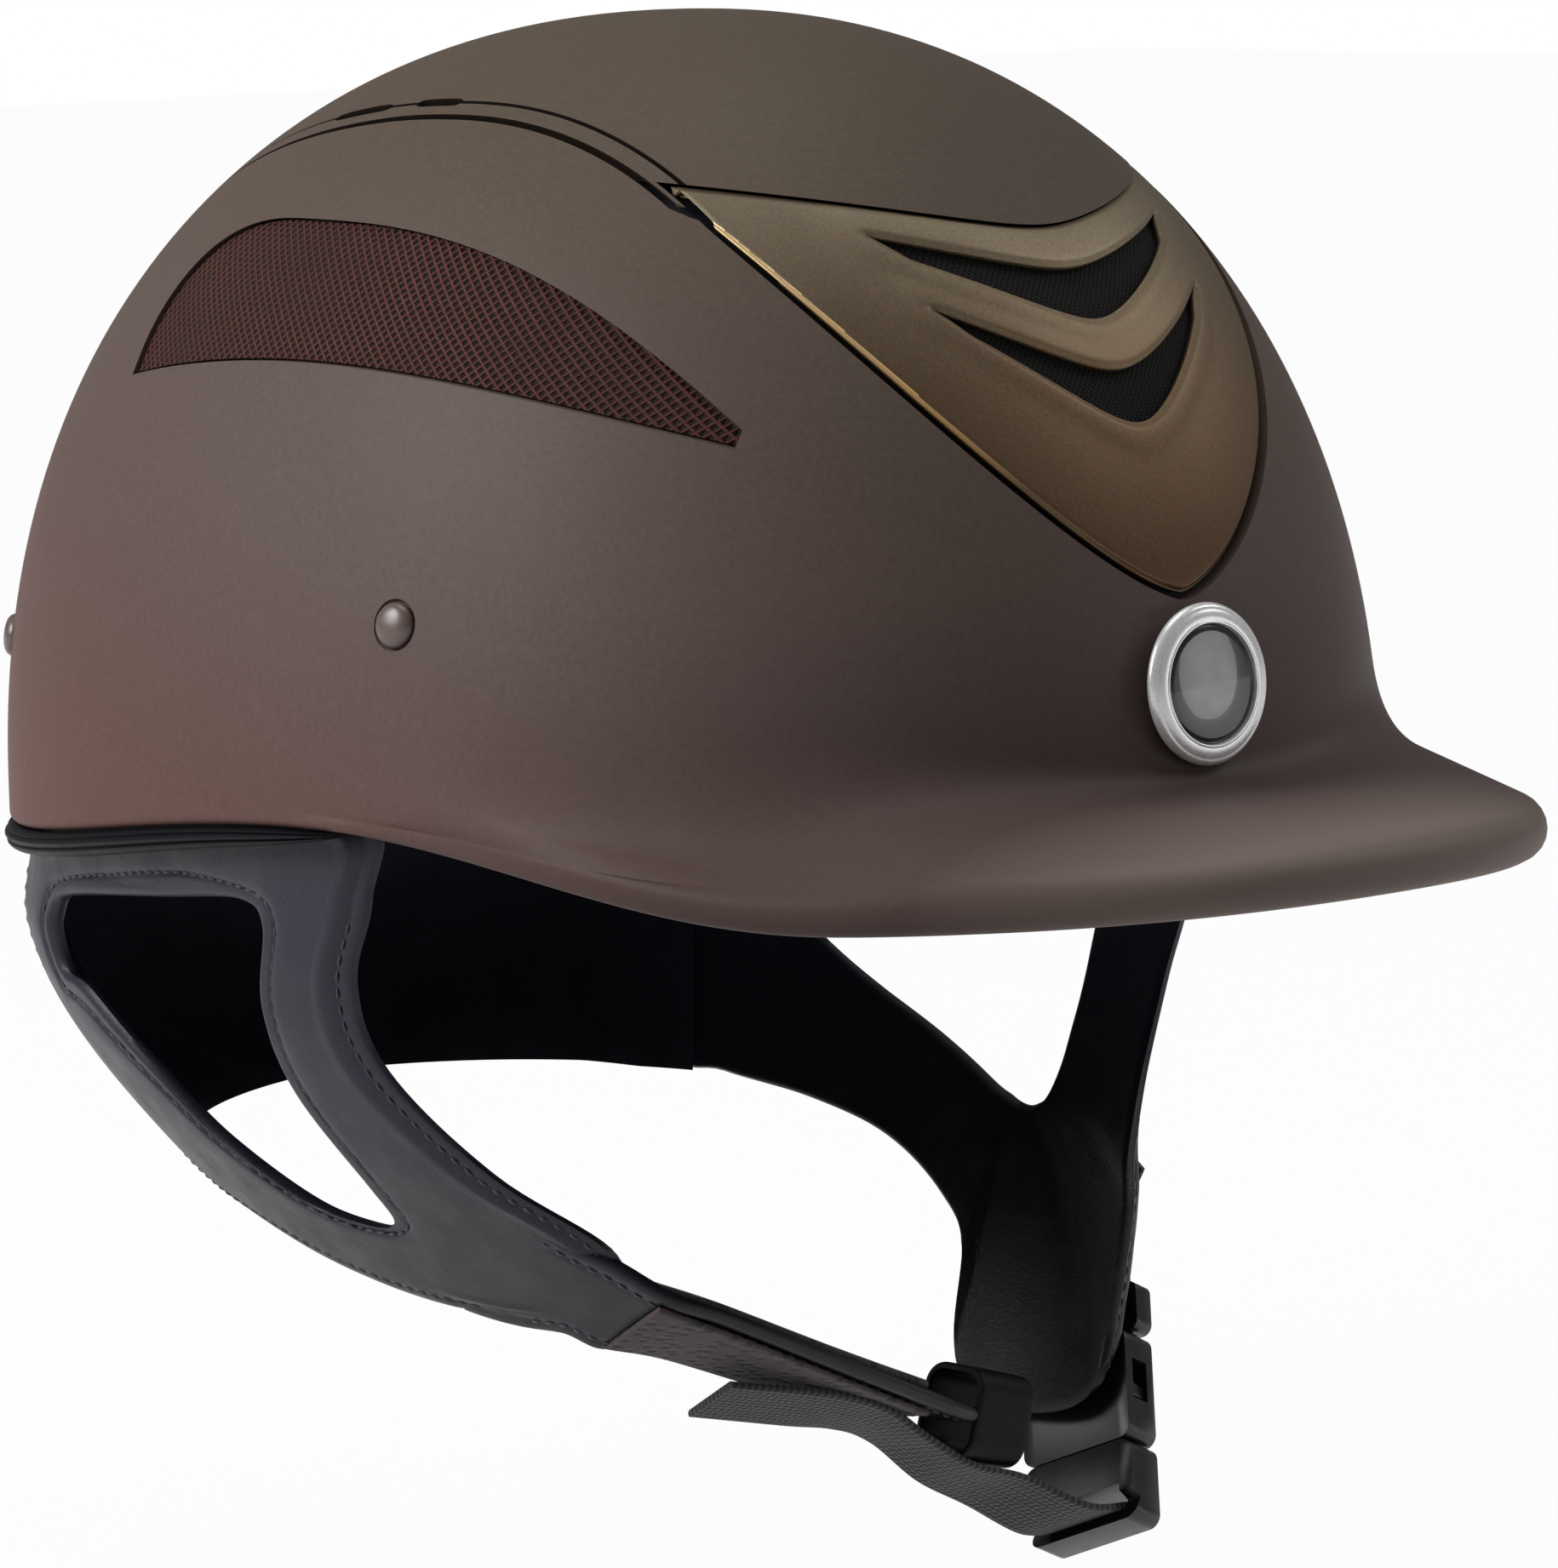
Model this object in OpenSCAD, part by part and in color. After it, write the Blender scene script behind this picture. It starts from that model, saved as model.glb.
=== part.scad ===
// Riding helmet with a leather harness
// Millimetres. +X is the wearer's left, -Y the front, +Z up.
// The origin is the centre of the head opening, at the height of the lowest rim.

/* [Shell] */
// Half-width of the dome at its widest level
shell_half_w = 108.5; // [104:0.5:114]
// Length of the dome forward of the origin
shell_front = 129.5; // [124:0.5:135]
// Length of the dome behind the origin
shell_rear = 151; // [145:0.5:157]
// Height of the crown above the widest level
crown_h = 143; // [136:1:150]
// Height of the widest level above the rim
widest_z = 7; // [4:0.5:10]
// Wall of the shell
shell_wall = 3.4; // [3:0.1:4]
// Squareness of the plan, 2 is an ellipse
plan_square = 2.18; // [2:0.02:2.4]
// Squareness of the profile, 2 is an ellipse
dome_square = 2.16; // [2:0.02:2.4]
// Height of the rim's arch over the ear
rim_arch = 12.8; // [9:0.1:15]

/* [Peak] */
// How far the peak reaches forward of the dome
peak_reach = 47; // [38:1:54]
// Radius of the rolled edge of the peak
peak_edge = 4.8; // [4:0.1:6]
// Rise of the peak's edge at its middle
peak_lift = 4; // [0:0.5:5]

/* [Front panel] */
// Half-width of the panel at its top corners
panel_half_w = 53.5; // [48:0.5:58]
// Height of its top corners above the rim
panel_top = 118; // [112:1:122]
// Height of its rounded tip above the rim
panel_tip = 51.5; // [48:0.5:58]
// Thickness of the panel
panel_t = 1.4; // [1:0.1:1.6]
// Open seam round the panel
panel_seam = 0.9; // [0.4:0.1:1.5]

/* [Side vents] */
// Front tip of the crescent, forward of the origin
vent_front = 86; // [80:1:90]
// Rear end of the crescent, behind the origin
vent_rear = 58.7; // [52:1:64]
// Height of the lower edge at its middle
vent_low = 91.6; // [86:0.5:96]
// Height of the upper edge at its highest
vent_high = 115.4; // [108:0.5:118]
// Ledge that carries the mesh
vent_ledge = 2.5; // [1.5:0.1:3.5]

/* [Badge and rivets] */
// Outer diameter of the badge
badge_d = 28; // [24:0.5:30]
// Height of the badge's centre
badge_z = 36; // [34:0.5:40]
// Diameter of a rivet's head
rivet_d = 8; // [7:0.1:9]
// Diameter of a rivet's shank
shank_d = 4; // [3:0.1:4.5]

/* [Liner] */
// Thickness of the foam at the sides
foam_t = 19; // [15:1:22]
// Extra foam at the rear
foam_rear = 5; // [2:1:8]
// Thickness of the comfort pads
pad_t = 8; // [5:0.5:10]

/* [Harness] */
// Room between the side of the shell and the middle of the harness
side_room = 5.5; // [5:0.5:9.5]
// Room between the ends of the shell and the middle of the harness
end_room = 4.25; // [3.25:0.25:9.25]
// Thickness of the leather yokes
leather_t = 3.6; // [3:0.2:4.5]
// Width of the chin strap
strap_w = 24; // [20:1:28]
// Thickness of the chin strap's leather
strap_t = 3; // [2.4:0.2:3.6]
// Thickness of the chin strap's padding
cushion_t = 2; // [1.5:0.5:4]
// Width of the webbing
web_w = 18; // [15:0.5:18.5]
// Thickness of the webbing
web_t = 1.4; // [1:0.1:1.6]

/* [Buckle] */
// Width of the buckle
buckle_w = 25; // [24:0.5:29]
// Thickness of the buckle
buckle_t = 8.2; // [8:0.1:10]
// Length of the socket
socket_l = 22; // [21:0.5:25]
// Length of the plug below the socket
plug_l = 16; // [15:0.5:20]
// Length of the prongs
prong_l = 15.5; // [14:0.5:15.5]
// Gap between parts that slide
slide_gap = 0.3; // [0.2:0.05:0.4]

/* [Hidden] */

// Clearance between neighbouring curved pieces
gap = 0.3;
// Steps round the shell, and up its outside and inside
shell_steps = 60;
outer_rings = 14;
inner_rings = 9;
flare_rings = 6;
edge_rings = 6;
top_z = widest_z + crown_h;

// Colours
brown = [0.30, 0.25, 0.22];
bronze = [0.40, 0.32, 0.20];
mesh_red = [0.23, 0.11, 0.10];
leather_blue = [0.13, 0.14, 0.17];
black = [0.06, 0.06, 0.06];
bead_grey = [0.28, 0.29, 0.32];

// Signed power, for superellipses
function spow(v, e) = sign(v) * pow(abs(v), e);
function clamp(v, lo, hi) = min(hi, max(lo, v));
function lerp(a, b, u) = a + (b - a) * u;
function unit(v) = v / norm(v);

// Curve through all points, closed or open, with n steps a span
function spline_at(a, b, c, d, u) =
    0.5 * ((2 * b) + (c - a) * u + (2 * a - 5 * b + 4 * c - d) * u * u
    + (3 * b - a - 3 * c + d) * u * u * u);
function spline(p, n) = let(last = len(p) - 1) concat(
    [for (i = [0:last - 1]) for (k = [0:n - 1])
        spline_at(p[max(i - 1, 0)], p[i], p[i + 1], p[min(i + 2, last)], k / n)],
    [p[last]]);
function closed_spline(p, n) = let(m = len(p)) [for (i = [0:m - 1]) for (k = [0:n - 1])
    spline_at(p[(i + m - 1) % m], p[i], p[(i + 1) % m], p[(i + 2) % m], k / n)];

// Closed solid of triangles, turned so that its faces look outward
module closed_solid(points, faces) {
    volumes = [for (t = faces) points[t[0]] * cross(points[t[1]], points[t[2]])];
    outward = total(volumes) < 0 ? faces : [for (t = faces) [t[0], t[2], t[1]]];
    polyhedron(points = points, faces = outward, convexity = 8);
}
function total(v) = v * [for (x = v) 1];
function middle(ring) = [for (k = [0:2]) total([for (p = ring) p[k]]) / len(ring)];

// Closed skin over rings of equal length: its ends are points, caps, or each other
module skin(rings, first = undef, last = undef, loop = false) {
    m = len(rings);
    n = len(rings[0]);
    pts = [for (r = rings) each r];
    mean0 = is_undef(first) ? middle(rings[0]) : first;
    mean1 = is_undef(last) ? middle(rings[m - 1]) : last;
    walls = [for (i = [0:(loop ? m - 1 : m - 2)]) for (j = [0:n - 1])
        let(a = i * n + j, b = i * n + (j + 1) % n, k = (i + 1) % m, c = k * n + (j + 1) % n, d = k * n + j)
        each [[a, b, c], [a, c, d]]];
    ends = loop ? [] : concat(
        [for (j = [0:n - 1]) [(j + 1) % n, j, m * n]],
        [for (j = [0:n - 1]) [(m - 1) * n + j, (m - 1) * n + (j + 1) % n, m * n + 1]]);
    closed_solid(loop ? pts : concat(pts, [mean0, mean1]), concat(walls, ends));
}

// Solid between two equal grids of points, front and back
module slab(front, back) {
    m = len(front);
    n = len(front[0]);
    pts = concat([for (r = front) each r], [for (r = back) each r]);
    off = m * n;
    faces = concat(
        [for (i = [0:m - 2]) for (j = [0:n - 2]) let(a = i * n + j) each
            [[a, a + 1, a + n + 1], [a, a + n + 1, a + n]]],
        [for (i = [0:m - 2]) for (j = [0:n - 2]) let(a = off + i * n + j) each
            [[a, a + n + 1, a + 1], [a, a + n, a + n + 1]]],
        [for (i = [0:m - 2]) each let(a = i * n, b = a + n) [[a, b, off + b], [a, off + b, off + a]]],
        [for (i = [0:m - 2]) each let(a = i * n + n - 1, b = a + n)
            [[a, off + b, b], [a, off + a, off + b]]],
        [for (j = [0:n - 2]) each [[j, off + j + 1, j + 1], [j, off + j, off + j + 1]]],
        [for (j = [0:n - 2]) each let(a = (m - 1) * n + j)
            [[a, a + 1, off + a + 1], [a, off + a + 1, off + a]]]);
    closed_solid(pts, faces);
}

// Dome: share of the plan left at height z, for a dome drawn in by d
function dome_r(z, d = 0) = z <= widest_z ? 1
    : pow(max(0, 1 - pow((z - widest_z) / (crown_h - d), dome_square)), 1 / dome_square);
// Plan of the dome at angle a, 0 at the front and 90 at the wearer's left
function dome_plan(a, d = 0) = [
    (shell_half_w - d) * spow(sin(a), 2 / plan_square),
    -(cos(a) > 0 ? shell_front - d : shell_rear - d) * spow(cos(a), 2 / plan_square)];
// Depth of the dome at (x, z), on the front face
function dome_y(x, z, d = 0) =
    -(shell_front - d) * pow(max(0, pow(dome_r(z, d), plan_square)
    - pow(abs(x) / (shell_half_w - d), plan_square)), 1 / plan_square);
// Half-width of the dome at (y, z)
function dome_x(y, z, d = 0) =
    (shell_half_w - d) * pow(max(0, pow(dome_r(z, d), plan_square)
    - pow(abs(y) / ((y < 0 ? shell_front : shell_rear) - d), plan_square)), 1 / plan_square);
// Height of the dome at (x, y)
function dome_z(x, y, d = 0) = let(
    rho = pow(pow(abs(x) / (shell_half_w - d), plan_square)
        + pow(abs(y) / ((y < 0 ? shell_front : shell_rear) - d), plan_square), 1 / plan_square))
    widest_z + (crown_h - d) * pow(max(0, 1 - pow(rho, dome_square)), 1 / dome_square);
// Outward direction of the dome at a point of its side
function side_normal(y, z) = let(e = 0.5, x = dome_x(y, z)) unit([
    1, -(dome_x(y + e, z) - dome_x(y - e, z)) / (2 * e), -(dome_x(y, z + e) - dome_x(y, z - e)) / (2 * e)]);

// Rim: height by the dome's own y, highest just in front of the ear
rim_top_y = -25;
rim_fore = 70;
rim_aft = 150;
function rim_z(a) = let(y = dome_plan(a)[1] - rim_top_y)
    rim_arch / 2 * (1 + cos(min(180, 180 * abs(y) / (y < 0 ? rim_fore : rim_aft))))
    + (cos(a) > 0 ? peak_lift * pow(cos(a), 4) : 0);

// Peak: the rim's plan forward of the ears
peak_square = 2.2;
function rim_plan(a) = cos(a) <= 0 ? dome_plan(a) : [
    shell_half_w * spow(sin(a), 2 / peak_square),
    -(shell_front + peak_reach) * pow(cos(a), 2 / peak_square)];
function plan_normal(a) = let(p = dome_plan(a + 1) - dome_plan(a - 1)) unit([p[1], -p[0]])
    * (cross([p[0], p[1], 0], [dome_plan(a)[0], dome_plan(a)[1], 0])[2] < 0 ? 1 : -1);
function peak_vec(a) = rim_plan(a) - dome_plan(a);
function reach(a) = max(0, peak_vec(a) * plan_normal(a));
// Share of the way from the peak's middle to its sides
function sideways(a) = 0.5 - 0.5 * cos(min(180, 3 * abs(a > 180 ? a - 360 : a)));
// Slope of the peak's top, gentle at its middle and steeper beside it
function peak_slope(a) = lerp(0.12, 0.46, sideways(a));

// Edge of the rim as a circle, and the share of the peak's form at an angle
function edge_r(a) = shell_wall / 2 + (peak_edge - shell_wall / 2) * min(1, reach(a) / 30);
function peak_share(a) = min(1, reach(a) / 16);
function edge_from(a) = 72 * peak_share(a);
function edge_top(a) = let(r = edge_r(a), e = edge_from(a))
    [reach(a) - r + r * cos(e), rim_z(a) + r + r * sin(e)];

// Flare between the dome and the edge: u runs from 0 at the dome to 1 at the edge
fillet_h = 16;
fillet_w = 7.8;
function flare_start(a) = let(p = edge_top(a))
    p[1] + peak_slope(a) * p[0] + fillet_h * lerp(0.3, 1, sideways(a));
function flare_at(a, u) = let(
    p = edge_top(a), s = peak_slope(a), k = peak_share(a), w = min(fillet_w, p[0] / 2),
    z0 = p[1] + s * p[0], start = [0, flare_start(a)], knee = [0, z0], land = [w, z0 - s * w],
    v = min(1, u / 0.6),
    curve = u < 0.6 ? lerp(lerp(start, knee, v), lerp(knee, land, v), v) : lerp(land, p, (u - 0.6) / 0.4),
    plain = [0, lerp(flare_start(a), p[1], u)])
    lerp(plain, curve, k);
// Inside of the flare, one wall in
function under_at(a, u) = let(
    p = flare_at(a, u), q = flare_at(a, max(0, u - 0.02)), r = edge_r(a),
    t = unit([p[0] - q[0], p[1] - q[1]] + [0, -0.001]),
    n = [t[1], -t[0]] * shell_wall, lip = reach(a) - 2 * r)
    [min(p[0] + n[0], lip), max(p[1] + n[1], rim_z(a) + r + 0.8)];

// Point of the shell at plan angle a, f outward of the dome's face, at height z
function shell_at(a, f, z) = let(
    d = max(0, -f), r = dome_r(z, d), base = dome_plan(a, d) * r, k = max(0, f) / max(0.01, reach(a)),
    v = peak_vec(a))
    [base[0] + v[0] * k, base[1] + v[1] * k, z];

// Heights of the dome's rings, closer together near the crown
function ring_zs(z0, z1, n) = [for (k = [0:n - 1]) z0 + (z1 - z0) * sin(90 * k / n)];

// Body of the shell before its openings are cut
module shell_body() {
    angles = [for (i = [0:shell_steps - 1]) 360 * i / shell_steps];
    inside = [for (k = [inner_rings - 1:-1:1]) [for (a = angles)
        shell_at(a, -shell_wall, ring_zs(flare_start(a), top_z - shell_wall, inner_rings)[k])]];
    under = [for (k = [0:flare_rings - 1]) [for (a = angles)
        let(p = under_at(a, k / (flare_rings - 1))) shell_at(a, p[0], p[1])]];
    edge = [for (k = [0:edge_rings]) [for (a = angles)
        let(r = edge_r(a), b = lerp(-180, edge_from(a), k / edge_rings))
        shell_at(a, reach(a) - r + r * cos(b), rim_z(a) + r + r * sin(b))]];
    flare = [for (k = [flare_rings - 2:-1:0]) [for (a = angles)
        let(p = flare_at(a, k / (flare_rings - 1))) shell_at(a, p[0], p[1])]];
    outside = [for (k = [1:outer_rings - 1]) [for (a = angles)
        shell_at(a, 0, ring_zs(flare_start(a), top_z, outer_rings)[k])]];
    skin(concat(inside, under, edge, flare, outside), [0, 0, top_z - shell_wall], [0, 0, top_z]);
}

// Edges of the front panel and its slots, as heights over x
function vee(x, z, rise, soft) = z + rise * (sqrt(x * x + soft * soft) - soft);
function panel_low(x, grow = 0) = let(w = panel_half_w + grow, h = panel_top - panel_tip)
    panel_top - h * pow(max(0, 1 - pow(min(1, abs(x) / w), 1 / 0.7)), 1 / 1.5)
    - grow * (1 + 0.4 * abs(x) / w);
function panel_high(x, grow = 0) = vee(x, panel_top - 5.1, 0.2, 10) + grow;

// Piece of the dome's front between two depths, within the panel's outline
module front_piece(grow, out, in) {
    w = panel_half_w + grow;
    cols = 24;
    rows = 6;
    function at(i, j, d) = let(x = w * sin(lerp(-90, 90, i / cols)), high = panel_high(x, grow),
        z = lerp(min(panel_low(x, grow), high - 1), high, j / rows)) [x, dome_y(x, z, d), z];
    slab([for (i = [0:cols]) [for (j = [0:rows]) at(i, j, out)]],
        [for (i = [0:cols]) [for (j = [0:rows]) at(i, j, in)]]);
}

// The two chevron slots: [half-length, top z, its rise, its softness, bottom z, rise, softness]
chevrons = [[34.5, 106.3, 0.25, 8, 97.5, 0.46, 6], [31.5, 89.1, 0.48, 8, 80.1, 0.77, 7]];
slot_blade = 0.4;
module chevron_slots(shrink = 0) {
    steps = 12;
    for (c = chevrons) {
        xs = [for (i = [0:steps]) (c[0] - shrink) * sin(lerp(-90, 90, i / steps))];
        for (i = [0:steps - 1])
            hull() for (x = [xs[i], xs[i + 1]]) {
                lo = vee(x, c[4], c[5], c[6]) + shrink;
                hi = max(lo + 0.6, vee(x, c[1], c[2], c[3]) - shrink);
                translate([x - slot_blade / 2, -shell_front - 5, lo]) cube([slot_blade, 70, hi - lo]);
            }
    }
}

// Crescent side vent, as heights over y
function vent_floor(y, grow) = vent_low - 12 * pow((y - 3) / 87, 2) - grow;
vent_peak_y = 20;
vent_tip = 3.2;
function vent_roof(y, grow) = let(tip = vent_low - 4.6)
    y < vent_peak_y
    ? vent_high - (vent_high - vent_floor(-vent_front, 0) - vent_tip)
        * pow((vent_peak_y - y) / (vent_front + vent_peak_y), 2.7) + grow
    : let(span = vent_rear - vent_peak_y + 0.2 + max(0, grow))
        tip + (vent_high - tip) * pow(max(0, 1 - pow((y - vent_peak_y) / span, 2.6)), 1 / 2.6) + grow;
// Piece of the dome's side between two depths, within the crescent grown by a margin
module side_piece(side, grow, out, in) {
    cols = 20;
    rows = 2;
    function at(i, j, d) = let(y = lerp(-vent_front - grow, vent_rear + grow, 0.5 - 0.5 * cos(180 * i / cols)),
        lo = vent_floor(y, grow), hi = max(lo + 0.5, vent_roof(y, grow)),
        z = lerp(lo, hi, j / rows)) [side * dome_x(y, z, d), y, z];
    slab([for (i = [0:cols]) [for (j = [0:rows]) at(i, j, out)]],
        [for (i = [0:cols]) [for (j = [0:rows]) at(i, j, in)]]);
}

// Grooves beside the crown: [distance outward, radius, front end, rear end], and the air exits
channel_x = 52.5;
crown_grooves = [[0, 0.9, -63, 70], [3.4, 1.15, -65, 82]];
exit_slots = [[2, 15], [21.5, 39.5]];
exit_w = 1.9;
function channel_at(y, out = 0) = let(x = channel_x + out - (y > 20 ? (y - 20) * (y - 20) / 500 : 0))
    [x, y, dome_z(x, y)];
module crown_channels() {
    steps = 9;
    for (side = [-1, 1]) for (g = crown_grooves) for (i = [0:steps - 1])
        hull() for (k = [i, i + 1]) {
            y = lerp(g[2], g[3], k / steps);
            p = channel_at(y, g[0]);
            fade = pow(clamp((g[3] + 3 - y) / 60, 0, 1), 0.5);
            translate([side * p[0], p[1], p[2] + 0.1]) sphere(r = g[1] * fade, $fn = 8);
        }
}
module exit_cuts() {
    for (side = [-1, 1]) for (s = exit_slots)
        hull() for (y = s) {
            p = channel_at(y);
            translate([side * p[0], y, p[2] - 8]) cylinder(h = 12, r = exit_w / 2, $fn = 10);
        }
}

// Places of the rivets: [y, z] on the dome's side
rivet_spots = [[-35.5, 49], [110.3, 35]];
module at_rivets() {
    for (side = [-1, 1]) for (s = rivet_spots) {
        n = side_normal(s[0], s[1]);
        translate([side * dome_x(s[0], s[1]), s[0], s[1]])
            rotate([0, acos(n[2]), atan2(n[1], side * n[0])]) children();
    }
}
rivet_seat = 0.8;

// Depths in the shell's wall where the front panel, its mesh and the floor lie
panel_out = 0.2;
panel_in = panel_out + panel_t;
mesh_t = 0.4;
front_mesh_out = panel_in + gap;
front_floor = front_mesh_out + mesh_t + gap;
side_mesh_out = 0.9;
side_mesh_t = 0.8;
side_floor = side_mesh_out + side_mesh_t + gap;
cut_out = -3;
cut_through = shell_wall + 2;

module outer_shell() {
    color(brown) difference() {
        shell_body();
        front_piece(panel_seam, cut_out, front_floor);
        chevron_slots(0.8);
        for (side = [-1, 1]) {
            side_piece(side, 0, cut_out, side_floor);
            side_piece(side, -vent_ledge, side_mesh_out, cut_through);
        }
        crown_channels();
        exit_cuts();
        at_rivets() {
            translate([0, 0, -rivet_seat]) cylinder(h = 4, d = rivet_d + 1, $fn = 16);
            translate([0, 0, -8]) cylinder(h = 10, d = shank_d + 2 * gap, $fn = 12);
        }
    }
}

// Bronze V panel with its two slots
module front_panel() {
    color(bronze) difference() {
        front_piece(0, panel_out, panel_in);
        chevron_slots();
    }
}

// Dark mesh behind the slots
module front_mesh() {
    color(black) front_piece(-3, front_mesh_out, front_mesh_out + mesh_t);
}

// Woven mesh in the crescent vents
module side_mesh(side) {
    color(mesh_red) side_piece(side, -0.5, side_mesh_out, side_mesh_out + side_mesh_t);
}

// Badge: a plain disc in a bright bezel, in a flat seat on the brow
badge_y = dome_y(0, badge_z) - 1.2;
badge_tilt = 4;
bezel_h = 2.6;
disc_d = badge_d * 0.73;
module at_badge() {
    translate([0, badge_y, badge_z]) rotate([90 - badge_tilt, 0, 0]) children();
}
module badge_bezel() {
    color("silver") at_badge() rotate_extrude($fn = 64) polygon([
        [disc_d / 2 + 0.1, 0], [badge_d / 2 - 0.4, 0], [badge_d / 2, 0.5], [badge_d / 2 - 0.5, bezel_h - 0.8],
        [badge_d / 2 - 1.8, bezel_h], [disc_d / 2 + 0.9, bezel_h - 0.3], [disc_d / 2 + 0.1, 1.4]]);
}
module badge_disc() {
    color(black) at_badge() rotate_extrude($fn = 64) polygon([
        [0, 0], [disc_d / 2 - 0.1, 0], [disc_d / 2 - 0.1, 1.2], [disc_d / 4, 1.5], [0, 1.6]]);
}

// Domed rivets and the washers that they are set on
module shell_rivets() {
    head_r = rivet_d / 2;
    ball = (head_r * head_r + 4) / 4;
    color(brown) at_rivets() {
        intersection() {
            translate([0, 0, 2.2 - rivet_seat + gap - ball]) sphere(r = ball, $fn = 40);
            translate([0, 0, -rivet_seat + gap]) cylinder(h = 4, r = head_r, $fn = 32);
        }
        translate([0, 0, -shank_end]) cylinder(h = shank_end - 0.2, d = shank_d, $fn = 24);
    }
}
washer_below = 0.9;
washer_t = 0.8;
shank_end = shell_wall + washer_below + washer_t + gap;
module rivet_washers() {
    color("silver") at_rivets() translate([0, 0, -shell_wall - washer_below - washer_t]) difference() {
        cylinder(h = washer_t, d = shank_d + 4.4, $fn = 24);
        translate([0, 0, -1]) cylinder(h = 3, d = shank_d + 0.4, $fn = 24);
    }
}

// Ribbed trim bead under the rim, from ear to ear round the back
bead_from = 81.5;
bead_h = 4.6;
bead_t = 5;
module rim_bead() {
    steps = 36;
    color(bead_grey) skin([for (i = [0:steps]) let(
        a = lerp(bead_from, 360 - bead_from, i / steps),
        fade = 1 - 0.75 * pow(abs(2 * i / steps - 1), 12),
        n = plan_normal(a), p = dome_plan(a, 1.4), z = rim_z(a) - gap)
        [for (k = [0:9]) let(b = 36 * k + 18, rib = 1 - 0.16 * cos(4 * b) * (cos(b) > 0 ? 1 : 0))
            [p[0] + n[0] * bead_t / 2 * cos(b) * rib, p[1] + n[1] * bead_t / 2 * cos(b) * rib,
             z - bead_h / 2 * fade + bead_h / 2 * fade * sin(b)]]]);
}

// Lining board under the peak, inside its rolled edge
module peak_lining() {
    half = 58;
    cols = 20;
    rows = 4;
    function at(i, j, up) = let(a = lerp(-half, half, i / cols),
        f = lerp(0, max(1, reach(a) - 2 * edge_r(a) - 1.5), j / rows)) shell_at(a, f, rim_z(a) + 2 + up);
    color(black) slab(
        [for (i = [0:cols]) [for (j = [0:rows]) at(i, j, 0)]],
        [for (i = [0:cols]) [for (j = [0:rows]) at(i, j, 1.6)]]);
}

// Foam liner: dome of foam, rebated at its foot for the harness.
// Its gap spans the shell's facets, which bulge inward between their corners.
foam_gap = 0.9;
rebate = 7.6;
rebate_h = 14;
foam_foot = 3;
function cavity_r(a) = foam_t + foam_rear * pow(max(0, -cos(a)), 2);
function foam_in(a, z, d) = let(h = crown_h - d - 4, u = clamp((z - widest_z) / h, 0, 1),
    r = pow(max(0, 1 - pow(u, dome_square)), 1 / dome_square), p = dome_plan(a, d + cavity_r(a) - foam_t))
    [p[0] * r, p[1] * r, z];
module foam_body() {
    steps = 40;
    outer = 8;
    inner = 8;
    angles = [for (i = [0:steps - 1]) 360 * i / steps];
    d0 = shell_wall + foam_gap;
    d1 = d0 + rebate;
    d2 = d0 + foam_t;
    function foot(a) = rim_z(a) + foam_foot + (cos(a) > 0 ? 3 * pow(cos(a), 2) : 0);
    function shoulder(a) = foot(a) + rebate_h;
    inner_top = widest_z + crown_h - d2 - 4;
    skin(concat(
        [for (k = [inner - 1:-1:0]) [for (a = angles)
            foam_in(a, ring_zs(foot(a), inner_top, inner)[k], d2)]],
        [[for (a = angles) let(p = dome_plan(a, d1)) [p[0], p[1], foot(a)]]],
        [[for (a = angles) let(z = shoulder(a), p = dome_plan(a, d1) * dome_r(z, d1)) [p[0], p[1], z]]],
        [for (k = [0:outer - 1]) [for (a = angles)
            let(z = ring_zs(shoulder(a) + 2, top_z - d0, outer)[k], p = dome_plan(a, d0) * dome_r(z, d0))
            [p[0], p[1], z]]]),
        [0, 0, inner_top], [0, 0, top_z - d0]);
}
module foam_liner() {
    vent_r = 4;
    color([0.12, 0.12, 0.12]) difference() {
        foam_body();
        // Air channels along the top of the foam
        for (x = [-30, 0, 30]) for (y = [-70:28:42])
            hull() for (k = [0, 28]) translate([x, y + k, dome_z(x, y + k, shell_wall + foam_gap) + 0.5])
                sphere(r = vent_r, $fn = 10);
        at_rivets() translate([0, 0, -12]) cylinder(h = 13, d = shank_d + 9, $fn = 16);
        anchor_pieces(0.8, 8);
    }
}

// Comfort pads inside the foam
pad_inset = shell_wall + foam_gap + foam_t + 1.5;
function pad_point(a, z, d) = let(q = foam_in(a, z, pad_inset + d)) q;
module band_pad(from, to, low, high, ribs) {
    steps = 24;
    color(black) skin([for (i = [0:steps]) let(
        a = lerp(from, to, i / steps), end = pow(abs(2 * i / steps - 1), 6),
        rib = 1 - 0.22 * pow(abs(cos(ribs * 180 * i / steps)), 12), t = pad_t * rib * (1 - 0.6 * end))
        [for (k = [0:7]) let(b = 45 * k + 22.5, z = lerp(low, high, 0.5 + 0.54 * sin(b) * (1 - 0.12 * end)),
            d = t * (0.5 - 0.5 * cos(b) / cos(22.5)))
            pad_point(a, max(z, rim_z(a) - 2), d)]]);
}
module brow_pad() { band_pad(-88, 88, 6, 40, 6); }
module nape_pad() { band_pad(112, 248, 8, 44, 4); }
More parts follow.
